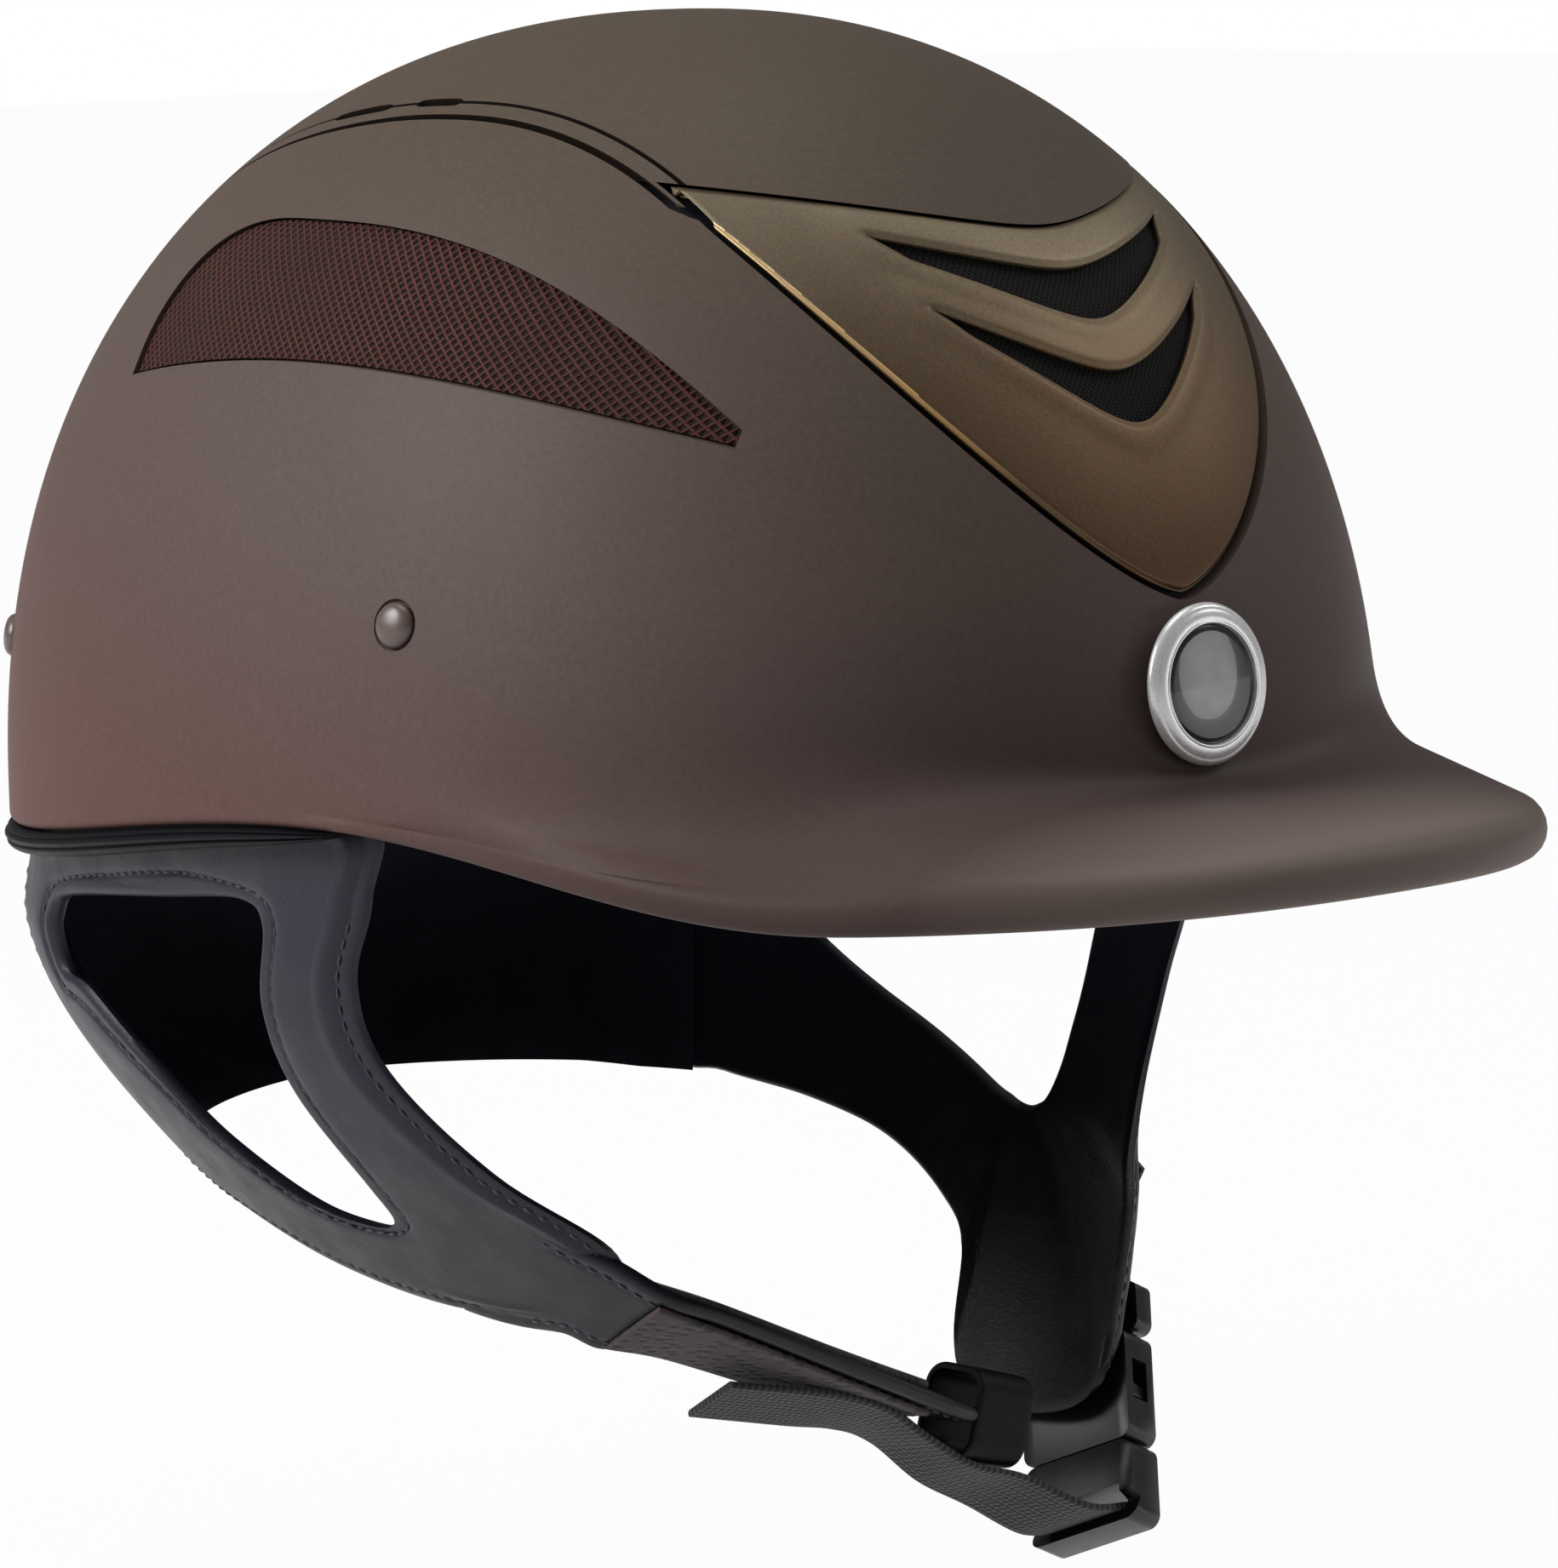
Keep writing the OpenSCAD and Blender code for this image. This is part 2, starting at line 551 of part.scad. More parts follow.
module crown_pad() {
    rings = 5;
    steps = 28;
    size = 52;
    color(black) skin(concat(
        [for (k = [1:rings]) [for (i = [0:steps - 1]) let(a = 360 * i / steps, r = size * k / rings,
            lobe = 1 - 0.1 * pow(cos(2.5 * a), 2), x = r * sin(a) * lobe, y = -r * cos(a) * 1.3 * lobe)
            [x, y, foam_z(x, y, 0)]]],
        [for (k = [rings:-1:1]) [for (i = [0:steps - 1]) let(a = 360 * i / steps, r = size * k / rings * 0.985,
            lobe = 1 - 0.1 * pow(cos(2.5 * a), 2), x = r * sin(a) * lobe, y = -r * cos(a) * 1.3 * lobe)
            [x, y, foam_z(x, y, pad_t * sqrt(max(0.02, 1 - pow(k / rings, 4))))]]]),
        [0, 0, foam_z(0, 0, 0)], [0, 0, foam_z(0, 0, pad_t)]);
}
function foam_z(x, y, d) = let(e = pad_inset + d,
    rho = pow(pow(abs(x) / (shell_half_w - e), plan_square)
        + pow(abs(y) / ((y < 0 ? shell_front - e : shell_rear - e)), plan_square), 1 / plan_square))
    widest_z + (crown_h - e - 4) * pow(max(0, 1 - pow(rho, dome_square)), 1 / dome_square) - 1;

// Harness cup: the surface that the leather hugs under the rim, inside the shell's wall.
// Angles run from 0 at the nape to 180 at the chin; out moves a point off the surface.
cup_half_w = shell_half_w - side_room;
cup_half_l = (shell_front + shell_rear) / 2 - end_room;
cup_y = (shell_rear - shell_front) / 2 + 0.25;
cup_tuck = 2.6;
cup_square = 2.25;
cup_top = -8;
cup_fall = 92;
function cup_share(z) = 1 / (1 + pow(max(0, cup_top - z) / cup_fall, 2.2));
function cup_at(a, z, out = 0, side = -1) = let(s = cup_share(z),
    tuck = cup_tuck * clamp((z + 16) / 12, 0, 1) * clamp((95 - a) / 15, 0, 1),
    rho = pow(pow(abs(sin(a)) / (cup_half_w * s), cup_square)
        + pow(abs(cos(a)) / (cup_half_l * s), cup_square), -1 / cup_square) + out - tuck)
    [side * rho * sin(a), cup_y + rho * cos(a), z];
// Point of a strap, moved with the cup from its place in one of 206 by 272
function hung(p) = [p[0] * cup_half_w / 103, cup_y + (p[1] - cup_y) * cup_half_l / 136, p[2]];

// Leather yoke round its ear opening: both outlines are lists of [angle, height, out],
// with the same number of points, from the top front corner round by the rear
module yoke(side, hole, outline, thick) {
    n = len(hole) > 20 ? 2 : 3;
    a = closed_spline(hole, n);
    b = closed_spline(outline, n);
    // Section across the leather: [share from the hole to the outline, share of the thickness]
    sect = [[0, -0.5], [0.05, -0.16], [0.3, 0], [0.75, 0], [0.95, -0.16], [1, -0.5],
        [0.95, -0.84], [0.6, -1], [0.3, -1], [0.05, -0.84]];
    rings = [for (i = [0:len(a) - 1]) [for (s = sect)
        let(p = lerp(a[i], b[i], s[0])) cup_at(p[0], p[1], p[2] + s[1] * thick, side)]];
    skin(rings, loop = true);
}
// Top of both yokes, inside the shell
yoke_top = 16;
// Right yoke: the strap leaves its lower front corner
right_hole = [[94, -7, 0], [92.5, -22, 0], [93, -38, 0], [97, -56, 0], [97.5, -63, 0], [91, -64.5, 0],
    [79, -61.5, 0], [69, -51, 0], [64, -38, 0], [57, -26.5, 0], [51, -24, 0], [51.5, -13, 0],
    [57, -9, 0], [77, -5, 0], [90, -3, 0]];
right_outline = [[109, 0, 0], [106.5, -15, 0], [108.5, -31, 0], [118.5, -50, 0], [131.5, -65, 0],
    [129, -80.5, 0], [98, -80.5, 0], [74, -76.5, 0], [57, -70.5, 0], [45, -66, 0], [40, -58, 0], [38.5, -24, 0],
    [40, yoke_top, 0], [76, yoke_top, 0], [108, yoke_top, 0]];
// Left yoke: its lower front corner runs down as a tab behind the buckle
left_hole = [[97, -10, 0], [97.5, -20, 0], [98.5, -33, 0], [101, -46, 0], [103.2, -54, 0], [104, -58.5, 0],
    [103.6, -60.5, 0], [102.5, -61.6, 0], [101.5, -62, 0], [100, -61.9, 0], [98, -61.4, 0], [95.5, -60.6, 0],
    [91, -58.8, 0], [78, -52, 0], [67, -45.5, 0], [59, -38.5, 0], [53, -30, 0], [51, -24, 0], [51.5, -13, 0],
    [57, -9, 0], [77, -5, 0], [90, -3, 0]];
left_outline = [[111, 0, 0], [112, -20, 0], [113.2, -36, 0], [118.5, -51.5, 0.5], [126, -65.5, 3],
    [131.5, -77, 9], [137.5, -95, 18], [141, -107, 22.5], [138.3, -111.8, 17.9], [128, -111.5, 9.5],
    [117, -103.5, 4.5], [108, -87, -1], [93.5, -79, 0], [76, -71, 0], [60, -66, 0], [47, -62.5, 0],
    [40.5, -58, 0], [38.5, -24, 0], [40, yoke_top, 0],
    [52, yoke_top, 0], [80, yoke_top, 0], [108, yoke_top, 0]];
module right_yoke() { color(leather_blue) yoke(-1, right_hole, right_outline, leather_t); }
module left_yoke() { color(leather_blue) yoke(1, left_hole, left_outline, leather_t); }

// Leather panel round the nape, tucked behind the rear edges of the yokes
nape_half = 43;
nape_t = 2.4;
nape_in = leather_t + 0.9;
module nape_panel() {
    cols = 14;
    rows = 5;
    function at(i, j, d) = let(a = lerp(-nape_half, nape_half, i / cols),
        low = lerp(-59, -62, abs(a) / nape_half),
        behind = nape_in * clamp((abs(a) - 30) / 6, 0, 1), round = 1 - pow(abs(2 * j / rows - 1), 6),
        z = lerp(low, yoke_top - 8, j / rows))
        cup_at(abs(a), z, d * (0.4 + 0.6 * round) - nape_t / 2 - behind, a < 0 ? -1 : 1);
    color(leather_blue) slab(
        [for (i = [0:cols]) [for (j = [0:rows]) at(i, j, nape_t / 2)]],
        [for (i = [0:cols]) [for (j = [0:rows]) at(i, j, -nape_t / 2)]]);
}

// Webbing anchors between the rivets and the yokes, inside the shell
anchor_w = 14;
anchor_t = 1.2;
anchor_depth = shell_wall + washer_below + washer_t + gap;
module anchor_pieces(grow, top) {
    for (side = [-1, 1]) for (s = rivet_spots) {
        zs = [for (k = [0:4]) lerp(s[1] + top, yoke_top + gap - grow, k / 4)];
        skin([for (z = zs) let(x = dome_x(s[0], z, anchor_depth), n = side_normal(s[0], z),
            flat = unit([n[0], n[1]]), t = [-flat[1], flat[0]])
            [for (q = [[-1, 0], [1, 0], [1, 1], [-1, 1]]) let(
                w = q[0] * (anchor_w / 2 + grow), d = q[1] == 0 ? -6 * sign(grow) : anchor_t + grow)
                [side * (x + t[0] * w - flat[0] * d), s[0] + t[1] * w - flat[1] * d, z]]]);
    }
}
module anchor_straps() { color(black) anchor_pieces(0, 7); }

// Strap lofted along stations of [centre, direction across, half-width], n steps a span.
// Its layer lies between two distances outward of the centre line.
module ribbon(stations, from, to, n = 4) {
    c = spline([for (s = stations) s[0]], n);
    w = spline([for (s = stations) s[1]], n);
    h = spline([for (s = stations) s[2]], n);
    last = len(c) - 1;
    t = [for (i = [0:last]) unit(c[min(i + 1, last)] - c[max(i - 1, 0)])];
    mid = (from + to) / 2;
    half_t = (to - from) / 2;
    sect = [[-1, 0.35], [-0.9, 0.9], [0, 1], [0.9, 0.9], [1, 0.35], [1, -0.35], [0.9, -0.9], [0, -1],
        [-0.9, -0.9], [-1, -0.35]];
    skin([for (i = [0:last]) let(
        across = unit(w[i] - t[i] * (w[i] * t[i])), out = unit(cross(t[i], across)))
        [for (s = sect) c[i] + across * s[0] * h[i] + out * (mid + half_t * s[1])]]);
}

// Chin strap: from the lower front corner of the right yoke under the chin
chin_stations = [
    [hung([-56.4, -40.7, -76.2]), [0, 0.89, -0.45], strap_w / 2],
    [hung([-45, -44, -80.4]), [0, 0.93, -0.37], strap_w / 2 - 0.5],
    [hung([-21, -47, -90.8]), [0, 0.95, -0.3], strap_w / 2 - 1.5],
    [hung([1, -49, -99.6]), [0, 0.985, -0.17], strap_w / 2 - 2.5],
    [hung([11, -50, -102.9]), [0, 1, -0.06], strap_w / 2 - 4.5],
    [hung([20, -50, -105.6]), [0, 1, 0], strap_w / 4 - 1]];
module chin_strap() { color(leather_blue) ribbon(chin_stations, -strap_t, 0); }
cushion_inset = 3.5;
cushion_stations = [for (k = [0:3])
    [chin_stations[k][0], chin_stations[k][1], chin_stations[k][2] - cushion_inset]];
module chin_cushion() { color(black) ribbon(cushion_stations, gap, gap + cushion_t); }

// Loop patch under the chin strap
patch_t = 1;
patch_stations = [for (k = [1:3]) [chin_stations[k][0], chin_stations[k][1], chin_stations[k][2] - 2]];
module loop_patch() { color(black) ribbon(patch_stations, -strap_t - patch_t - gap, -strap_t - gap); }

// Buckle frame: origin at the middle of the socket's mouth, x outward across its thickness,
// y rearward along its width, z up into the socket. It leans in and forward under the chin.
buckle_at = hung([51.2, -45, -120.7]);
buckle_lean = [-24.8, 26.1, 2.3];
module at_buckle() { translate(buckle_at) rotate(buckle_lean) children(); }
function turn_x(p, a) = [p[0], p[1] * cos(a) - p[2] * sin(a), p[1] * sin(a) + p[2] * cos(a)];
function turn_y(p, a) = [p[0] * cos(a) + p[2] * sin(a), p[1], p[2] * cos(a) - p[0] * sin(a)];
function turn_z(p, a) = [p[0] * cos(a) - p[1] * sin(a), p[0] * sin(a) + p[1] * cos(a), p[2]];
function buckle_turned(p) = turn_z(turn_y(turn_x(p, buckle_lean[0]), buckle_lean[1]), buckle_lean[2]);
function buckle_point(p) = buckle_at + buckle_turned(p);
buckle_across = buckle_turned([0, 1, 0]);
// Webbing from the plug, under the strap, to its free tail
web_stations = [
    [hung([-40, -42, -96]), [0, 0.95, -0.3], web_w / 2 - 1.5],
    [hung([-20, -45.5, -100.4]), [0, 0.95, -0.3], web_w / 2 - 1],
    [hung([0, -47, -107.5]), [0, 0.97, -0.2], web_w / 2 - 1],
    [hung([10, -48, -115]), [0.1, 1, 0.25], web_w / 2 - 1.5],
    [hung([22, -50, -123]), [0, 1, 0.1], web_w / 2 - 1],
    [hung([33, -52.5, -128.3]), [0.1, 1, -0.2], web_w / 2],
    [buckle_point([0, 0, 5.2 - plug_l]), buckle_across, web_w / 2]];
module chin_webbing() { color(black) ribbon(web_stations, -web_t / 2, web_t / 2); }

// Keeper loop that stands on the end of the chin strap
keeper_l = 5;
keeper_t = 1.8;
keeper_w = 16.4;
keeper_h = 11.6;
keeper_at = hung([17.9, -50, -105]);
keeper_tilt = 17;
module keeper_ring(w, h, l, r) {
    rotate([90, 0, 90]) linear_extrude(l, center = true) {
        square([w - 2 * r, h], center = true);
        square([w, h - 2 * r], center = true);
        for (x = [-1, 1]) for (y = [-1, 1])
            translate([x * (w / 2 - r), y * (h / 2 - r)]) circle(r, $fn = 24);
    }
}
module strap_keeper() {
    color(black) translate(keeper_at) rotate([0, keeper_tilt, 0])
        translate([0, 0, keeper_h / 2 - strap_t - 0.6]) difference() {
            keeper_ring(keeper_w + 2 * keeper_t, keeper_h + 2 * keeper_t, keeper_l, 4.5);
            keeper_ring(keeper_w, keeper_h, keeper_l + 2, 3);
        }
}

module rounded_plate(w, h, t, r) {
    // Lies in the y-z plane, centred across x, with its foot at z = 0
    rotate([90, 0, 90]) translate([0, 0, -t / 2]) linear_extrude(t) {
        translate([-w / 2 + r, 0]) square([w - 2 * r, h]);
        translate([-w / 2, r]) square([w, h - 2 * r]);
        for (x = [-1, 1]) for (z = [r, h - r]) translate([x * (w / 2 - r), z]) circle(r, $fn = 24);
    }
}
pocket_w = buckle_w - 5;
pocket_t = buckle_t - 4;
pocket_l = socket_l - 6;
prong_w = 3;
prong_root = pocket_w / 2 - slide_gap - prong_w / 2 - 0.3;
prong_barb = 2.4;
window_l = 8;
bar_gap = 2.6;
web_rise = buckle_t / 2 - 1.1;
module buckle_socket() {
    color(black) at_buckle() difference() {
        rounded_plate(buckle_w, socket_l, buckle_t, 2.5);
        // Pocket for the plug
        translate([-pocket_t / 2, -pocket_w / 2, -1]) cube([pocket_t, pocket_w, pocket_l + 1]);
        // Side windows where the prongs show and are pressed
        for (s = [-1, 1]) translate([-pocket_t / 2, s * buckle_w / 2 - 3, prong_l - window_l + 0.6])
            cube([pocket_t, 6, window_l]);
        // Slot for the webbing under the bar, and the way over the bar
        translate([-buckle_t, -web_w / 2 - 0.5, pocket_l + 1.4]) cube([2 * buckle_t, web_w + 1, bar_gap]);
        translate([web_rise - web_t / 2 - gap, -web_w / 2 - 0.5, pocket_l + 1.4])
            cube([buckle_t, web_w + 1, socket_l]);
    }
}
module buckle_plug() {
    color(black) at_buckle() {
        difference() {
            translate([0, 0, -plug_l]) rounded_plate(buckle_w, plug_l - slide_gap, buckle_t, 2.5);
            // Slot for the webbing
            translate([-buckle_t, -web_w / 2 - 0.5, -plug_l + 2.8])
                cube([2 * buckle_t, web_w + 1, bar_gap + 1.6]);
            // Slanted inner face under the bar
            translate([-buckle_t / 2, -buckle_w, -plug_l - 1]) rotate([0, 25, 0]) translate([-10, 0, -6])
                cube([10, 2 * buckle_w, 12]);
        }
        // Guide tongue between the prongs
        translate([-pocket_t / 2 + slide_gap, -2.6, -1]) cube([pocket_t - 2 * slide_gap, 5.2, prong_l - 2]);
    }
}
// Spring prong with its barb, hinged at its root on the plug's shoulder
module prong(s) {
    t = pocket_t - 2 * slide_gap;
    color(black) at_buckle() rotate([90, 0, 90]) translate([0, 0, -t / 2]) linear_extrude(t) polygon([
        [s * (prong_root - prong_w / 2), slide_gap / 3], [s * (prong_root + prong_w / 2), slide_gap / 3],
        [s * (prong_root + prong_w / 2), prong_l - window_l + 1.2],
        [s * (prong_root + prong_w / 2 + prong_barb), prong_l - window_l + 1.4],
        [s * (prong_root + prong_w / 2 + prong_barb), prong_l - 4.5],
        [s * (prong_root + 0.2), prong_l], [s * (prong_root - prong_w / 2), prong_l - 1]]);
}

// Webbing on the outside of the left yoke, from its sewn end to the socket's bar.
// It turns in an arc and then runs straight, so that the adjuster slides on it.
sewn_at = cup_at(117, -68, 8.4, 1);
straight_top = socket_l + 22;
bend_at = buckle_point([web_rise, 0, straight_top]);
bend_up = unit(buckle_point([0, 0, 1]) - buckle_point([0, 0, 0]));
bend_rise = (sewn_at - bend_at) * bend_up;
function bend_point(up, aside) = lerp(bend_at, sewn_at, aside) + bend_up * bend_rise * (up - aside);
left_stations = [
    [sewn_at, buckle_across, web_w / 2],
    [bend_point(0.77, 0.47), buckle_across, web_w / 2],
    [bend_point(0.42, 0.12), buckle_across, web_w / 2],
    [bend_at, buckle_across, web_w / 2],
    [buckle_point([web_rise, 0, straight_top - 8]), buckle_across, web_w / 2],
    [buckle_point([web_rise, 0, straight_top - 17]), buckle_across, web_w / 2],
    [buckle_point([web_rise, 0, socket_l - 4]), buckle_across, web_w / 2]];
module left_webbing() { color(black) ribbon(left_stations, -web_t / 2, web_t / 2, 2); }

// Slide adjuster on the left webbing
adjuster_h = 10;
adjuster_t = 4.4;
adjuster_foot = socket_l + 1.2;
module slide_adjuster() {
    color(black) at_buckle() translate([web_rise, 0, adjuster_foot]) difference() {
        rounded_plate(web_w + 6, adjuster_h, adjuster_t, 2);
        translate([-web_t / 2 - 0.3, -web_w / 2 - 0.5, -1]) cube([web_t + 0.6, web_w + 1, adjuster_h + 2]);
        translate([0, -web_w / 2 - 0.5, 2.2]) cube([adjuster_t, web_w + 1, 2]);
        translate([0, -web_w / 2 - 0.5, adjuster_h - 4.2]) cube([adjuster_t, web_w + 1, 2]);
    }
}

outer_shell();
front_panel();
front_mesh();
side_mesh(-1);  // side_mesh_right
side_mesh(1);  // side_mesh_left
badge_bezel();
badge_disc();
shell_rivets();
rivet_washers();
rim_bead();
peak_lining();
foam_liner();
crown_pad();
brow_pad();
nape_pad();
nape_panel();
right_yoke();
left_yoke();
anchor_straps();
chin_strap();
chin_cushion();
loop_patch();
chin_webbing();
strap_keeper();
left_webbing();
slide_adjuster();
buckle_socket();
buckle_plug();
prong(-1);  // prong_front
prong(1);  // prong_rear
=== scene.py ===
import math
import bpy, bmesh
import numpy as np
from mathutils import Matrix, Vector


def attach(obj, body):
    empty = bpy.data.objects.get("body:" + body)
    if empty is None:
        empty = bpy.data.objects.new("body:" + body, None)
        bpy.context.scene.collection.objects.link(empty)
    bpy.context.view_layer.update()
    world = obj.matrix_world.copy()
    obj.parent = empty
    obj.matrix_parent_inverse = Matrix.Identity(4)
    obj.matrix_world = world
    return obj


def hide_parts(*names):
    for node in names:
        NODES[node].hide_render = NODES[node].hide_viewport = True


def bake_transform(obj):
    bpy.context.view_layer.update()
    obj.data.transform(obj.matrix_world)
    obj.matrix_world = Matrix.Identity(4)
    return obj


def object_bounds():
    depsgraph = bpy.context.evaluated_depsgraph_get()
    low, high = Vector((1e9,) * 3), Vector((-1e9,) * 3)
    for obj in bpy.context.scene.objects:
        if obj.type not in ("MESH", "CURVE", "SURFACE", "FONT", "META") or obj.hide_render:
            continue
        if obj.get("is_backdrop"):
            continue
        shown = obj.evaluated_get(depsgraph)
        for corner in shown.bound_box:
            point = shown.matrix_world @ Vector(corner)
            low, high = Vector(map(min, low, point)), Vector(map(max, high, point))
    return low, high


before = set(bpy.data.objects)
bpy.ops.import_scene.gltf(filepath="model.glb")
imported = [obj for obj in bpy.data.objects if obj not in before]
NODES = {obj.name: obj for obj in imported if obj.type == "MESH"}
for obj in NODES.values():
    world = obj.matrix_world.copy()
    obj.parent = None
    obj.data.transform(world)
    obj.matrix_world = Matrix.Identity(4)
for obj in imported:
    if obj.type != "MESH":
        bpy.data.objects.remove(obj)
cad_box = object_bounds()
SCENE = bpy.context.scene
MM = 1000

# Shape, in mm, as in the part's source
HALF_W, FRONT, REAR, CROWN, WIDEST, WALL = 108.5, 129.5, 151.0, 143.0, 7.0, 3.4
PLAN, DOME, PEAK = 2.18, 2.16, 2.2  # exponents of the outlines
TOP = WIDEST + CROWN
REACH, EDGE, LIFT = 47.0, 4.8, 4.0  # the peak's length, edge radius and rise
PANEL_W, PANEL_TOP, PANEL_TIP = 53.5, 118.0, 51.5
LINER_GAP, FOAM_T, PAD_GAP, FOAM_DROP, WASHER_T = 0.9, 19.0, 1.5, 4.0, 0.8
PAD_AT = WALL + LINER_GAP + FOAM_T + PAD_GAP
STRAP_T, GAP = 3.0, 0.3


def spow(v, e):
    return np.sign(v) * np.abs(v) ** e


def cosd(a):
    return np.cos(np.radians(a))


def sind(a):
    return np.sin(np.radians(a))


def mix(a, b, u):
    return a + (b - a) * u


def stack(*parts):
    return np.stack(parts, -1)


def above(v):
    """v, or 0 where it is less."""
    return np.maximum(0, v)


def held(v):
    """v, kept from 0 to 1."""
    return np.clip(v, 0, 1)


def bell(v, width):
    return np.exp(-(v / width) ** 2)


def unit(v):
    return v / np.maximum(np.linalg.norm(v, axis=-1, keepdims=True), 1e-12)


def dome_r(z, d=0.0):
    u = held((z - WIDEST) / (CROWN - d))
    return (1 - u ** DOME) ** (1 / DOME)


def dome_plan(a, d=0.0):
    c, s = cosd(a), sind(a)
    return stack((HALF_W - d) * spow(s, 2 / PLAN), -np.where(c > 0, FRONT - d, REAR - d) * spow(c, 2 / PLAN))


def dome_y(x, z, d=0.0):
    return -(FRONT - d) * above(dome_r(z, d) ** PLAN - (np.abs(x) / (HALF_W - d)) ** PLAN) ** (1 / PLAN)


def dome_x(y, z, d=0.0):
    along = np.where(y < 0, FRONT - d, REAR - d)
    return (HALF_W - d) * above(dome_r(z, d) ** PLAN - (np.abs(y) / along) ** PLAN) ** (1 / PLAN)


def dome_z(x, y, d=0.0, drop=0.0):
    along = np.where(y < 0, FRONT - d, REAR - d)
    rho = ((np.abs(x) / (HALF_W - d)) ** PLAN + (np.abs(y) / along) ** PLAN) ** (1 / PLAN)
    return WIDEST + (CROWN - d - drop) * above(1 - rho ** DOME) ** (1 / DOME)


def side_normal(y, z, e=0.5):
    return unit(np.array([1, -(dome_x(y + e, z) - dome_x(y - e, z)) / (2 * e),
                          -(dome_x(y, z + e) - dome_x(y, z - e)) / (2 * e)]))


def rim_z(a):
    y = dome_plan(a)[..., 1] + 25
    w = np.where(y < 0, 70, 150)
    return 6.4 * (1 + cosd(np.minimum(180, 180 * np.abs(y) / w))) + LIFT * above(cosd(a)) ** 4


def plan_normal(a):
    p = dome_plan(a + 1) - dome_plan(a - 1)
    n = unit(stack(p[..., 1], -p[..., 0]))
    return n * np.sign(np.sum(n * dome_plan(a), -1, keepdims=True))


def peak_vec(a):
    rim = stack(HALF_W * spow(sind(a), 2 / PEAK), -(FRONT + REACH) * above(cosd(a)) ** (2 / PEAK))
    return np.where((cosd(a) <= 0)[..., None], 0, rim - dome_plan(a))


def reach(a):
    return above(np.sum(peak_vec(a) * plan_normal(a), -1))


def sideways(a):
    b = np.where(a > 180, a - 360, a)
    return 0.5 - 0.5 * cosd(np.minimum(180, 3 * np.abs(b)))


def edge_r(a):
    return WALL / 2 + (EDGE - WALL / 2) * np.minimum(1, reach(a) / 30)


def peak_share(a):
    return np.minimum(1, reach(a) / 16)


def edge_from(a):
    return 72 * peak_share(a)


def edge_top(a):
    r, e = edge_r(a), edge_from(a)
    return stack(reach(a) - r + r * cosd(e), rim_z(a) + r + r * sind(e))


def slope(a):
    return mix(0.12, 0.46, sideways(a))


def flare_start(a):
    p = edge_top(a)
    return p[..., 1] + slope(a) * p[..., 0] + 16 * mix(0.3, 1, sideways(a))


def flare_at(a, u):
    p, s, k = edge_top(a), slope(a), peak_share(a)[..., None]
    w = np.minimum(7.8, p[..., 0] / 2)
    z0 = p[..., 1] + s * p[..., 0]
    zero = np.zeros_like(z0)
    start, knee, land = (stack(*q) for q in ((zero, flare_start(a)), (zero, z0), (w, z0 - s * w)))
    v = min(1, u / 0.6)
    curve = mix(mix(start, knee, v), mix(knee, land, v), v) if u < 0.6 else mix(land, p, (u - 0.6) / 0.4)
    plain = stack(zero, mix(flare_start(a), p[..., 1], u))
    return mix(plain, curve, k)


def under_at(a, u):
    p, q, r = flare_at(a, u), flare_at(a, max(0, u - 0.02)), edge_r(a)
    t = unit(p - q + np.array([0, -0.001]))
    n = stack(t[..., 1], -t[..., 0]) * WALL
    lip = reach(a) - 2 * r
    return stack(np.minimum(p[..., 0] + n[..., 0], lip), np.maximum(p[..., 1] + n[..., 1], rim_z(a) + r + 0.8))


def shell_at(a, f, z):
    d = above(-f)
    k = above(f) / np.maximum(0.01, reach(a))
    xy = dome_plan(a, d) * dome_r(z, d)[..., None] + peak_vec(a) * k[..., None]
    return stack(xy[..., 0], xy[..., 1], z + 0 * xy[..., 0])


def ring_z(z0, z1, k, n):
    return mix(z0, z1, sind(90 * k / n))


# Meshes
def link(name, data):
    ob = bpy.data.objects.new(name, data)
    SCENE.collection.objects.link(ob)
    return ob


def shade(me, angle):
    """Smooth faces, with sharp edges above an angle."""
    me.polygons.foreach_set("use_smooth", [True] * len(me.polygons))
    if angle:
        me.set_sharp_from_angle(angle=math.radians(angle))


def build(name, shape, mat, body="helmet", smooth=40, uv=None, merge=0.0, close=True, slot=None, node=None, fill=None):
    """Piece from points in mm and faces, with the body it rides and the node it stands for. The slot is not used."""
    verts, faces = shape
    me = bpy.data.meshes.new(name)
    me.from_pydata((np.asarray(verts, float) / MM).tolist(), [], [list(map(int, f)) for f in faces])
    if uv is not None:
        layer = me.uv_layers.new(name="uv")
        idx = np.zeros(len(me.loops), int)
        me.loops.foreach_get("vertex_index", idx)
        layer.data.foreach_set("uv", np.asarray(uv, float)[idx].ravel())
    ob = link(name, me)
    if merge or close:
        bm = bmesh.new()
        bm.from_mesh(me)
        if merge:
            bmesh.ops.remove_doubles(bm, verts=bm.verts, dist=merge / MM)
        if close:
            bmesh.ops.recalc_face_normals(bm, faces=bm.faces)
        bm.to_mesh(me)
        bm.free()
    shade(me, smooth)
    if mat is not None:
        me.materials.append(mat)
    if body:
        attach(ob, body)
    if node:
        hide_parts(node)
    return ob


def face_centre(face):
    return [c * MM for c in face.center]


def turned(angle, axis, size=4):
    return Matrix.Rotation(math.radians(angle), size, axis)


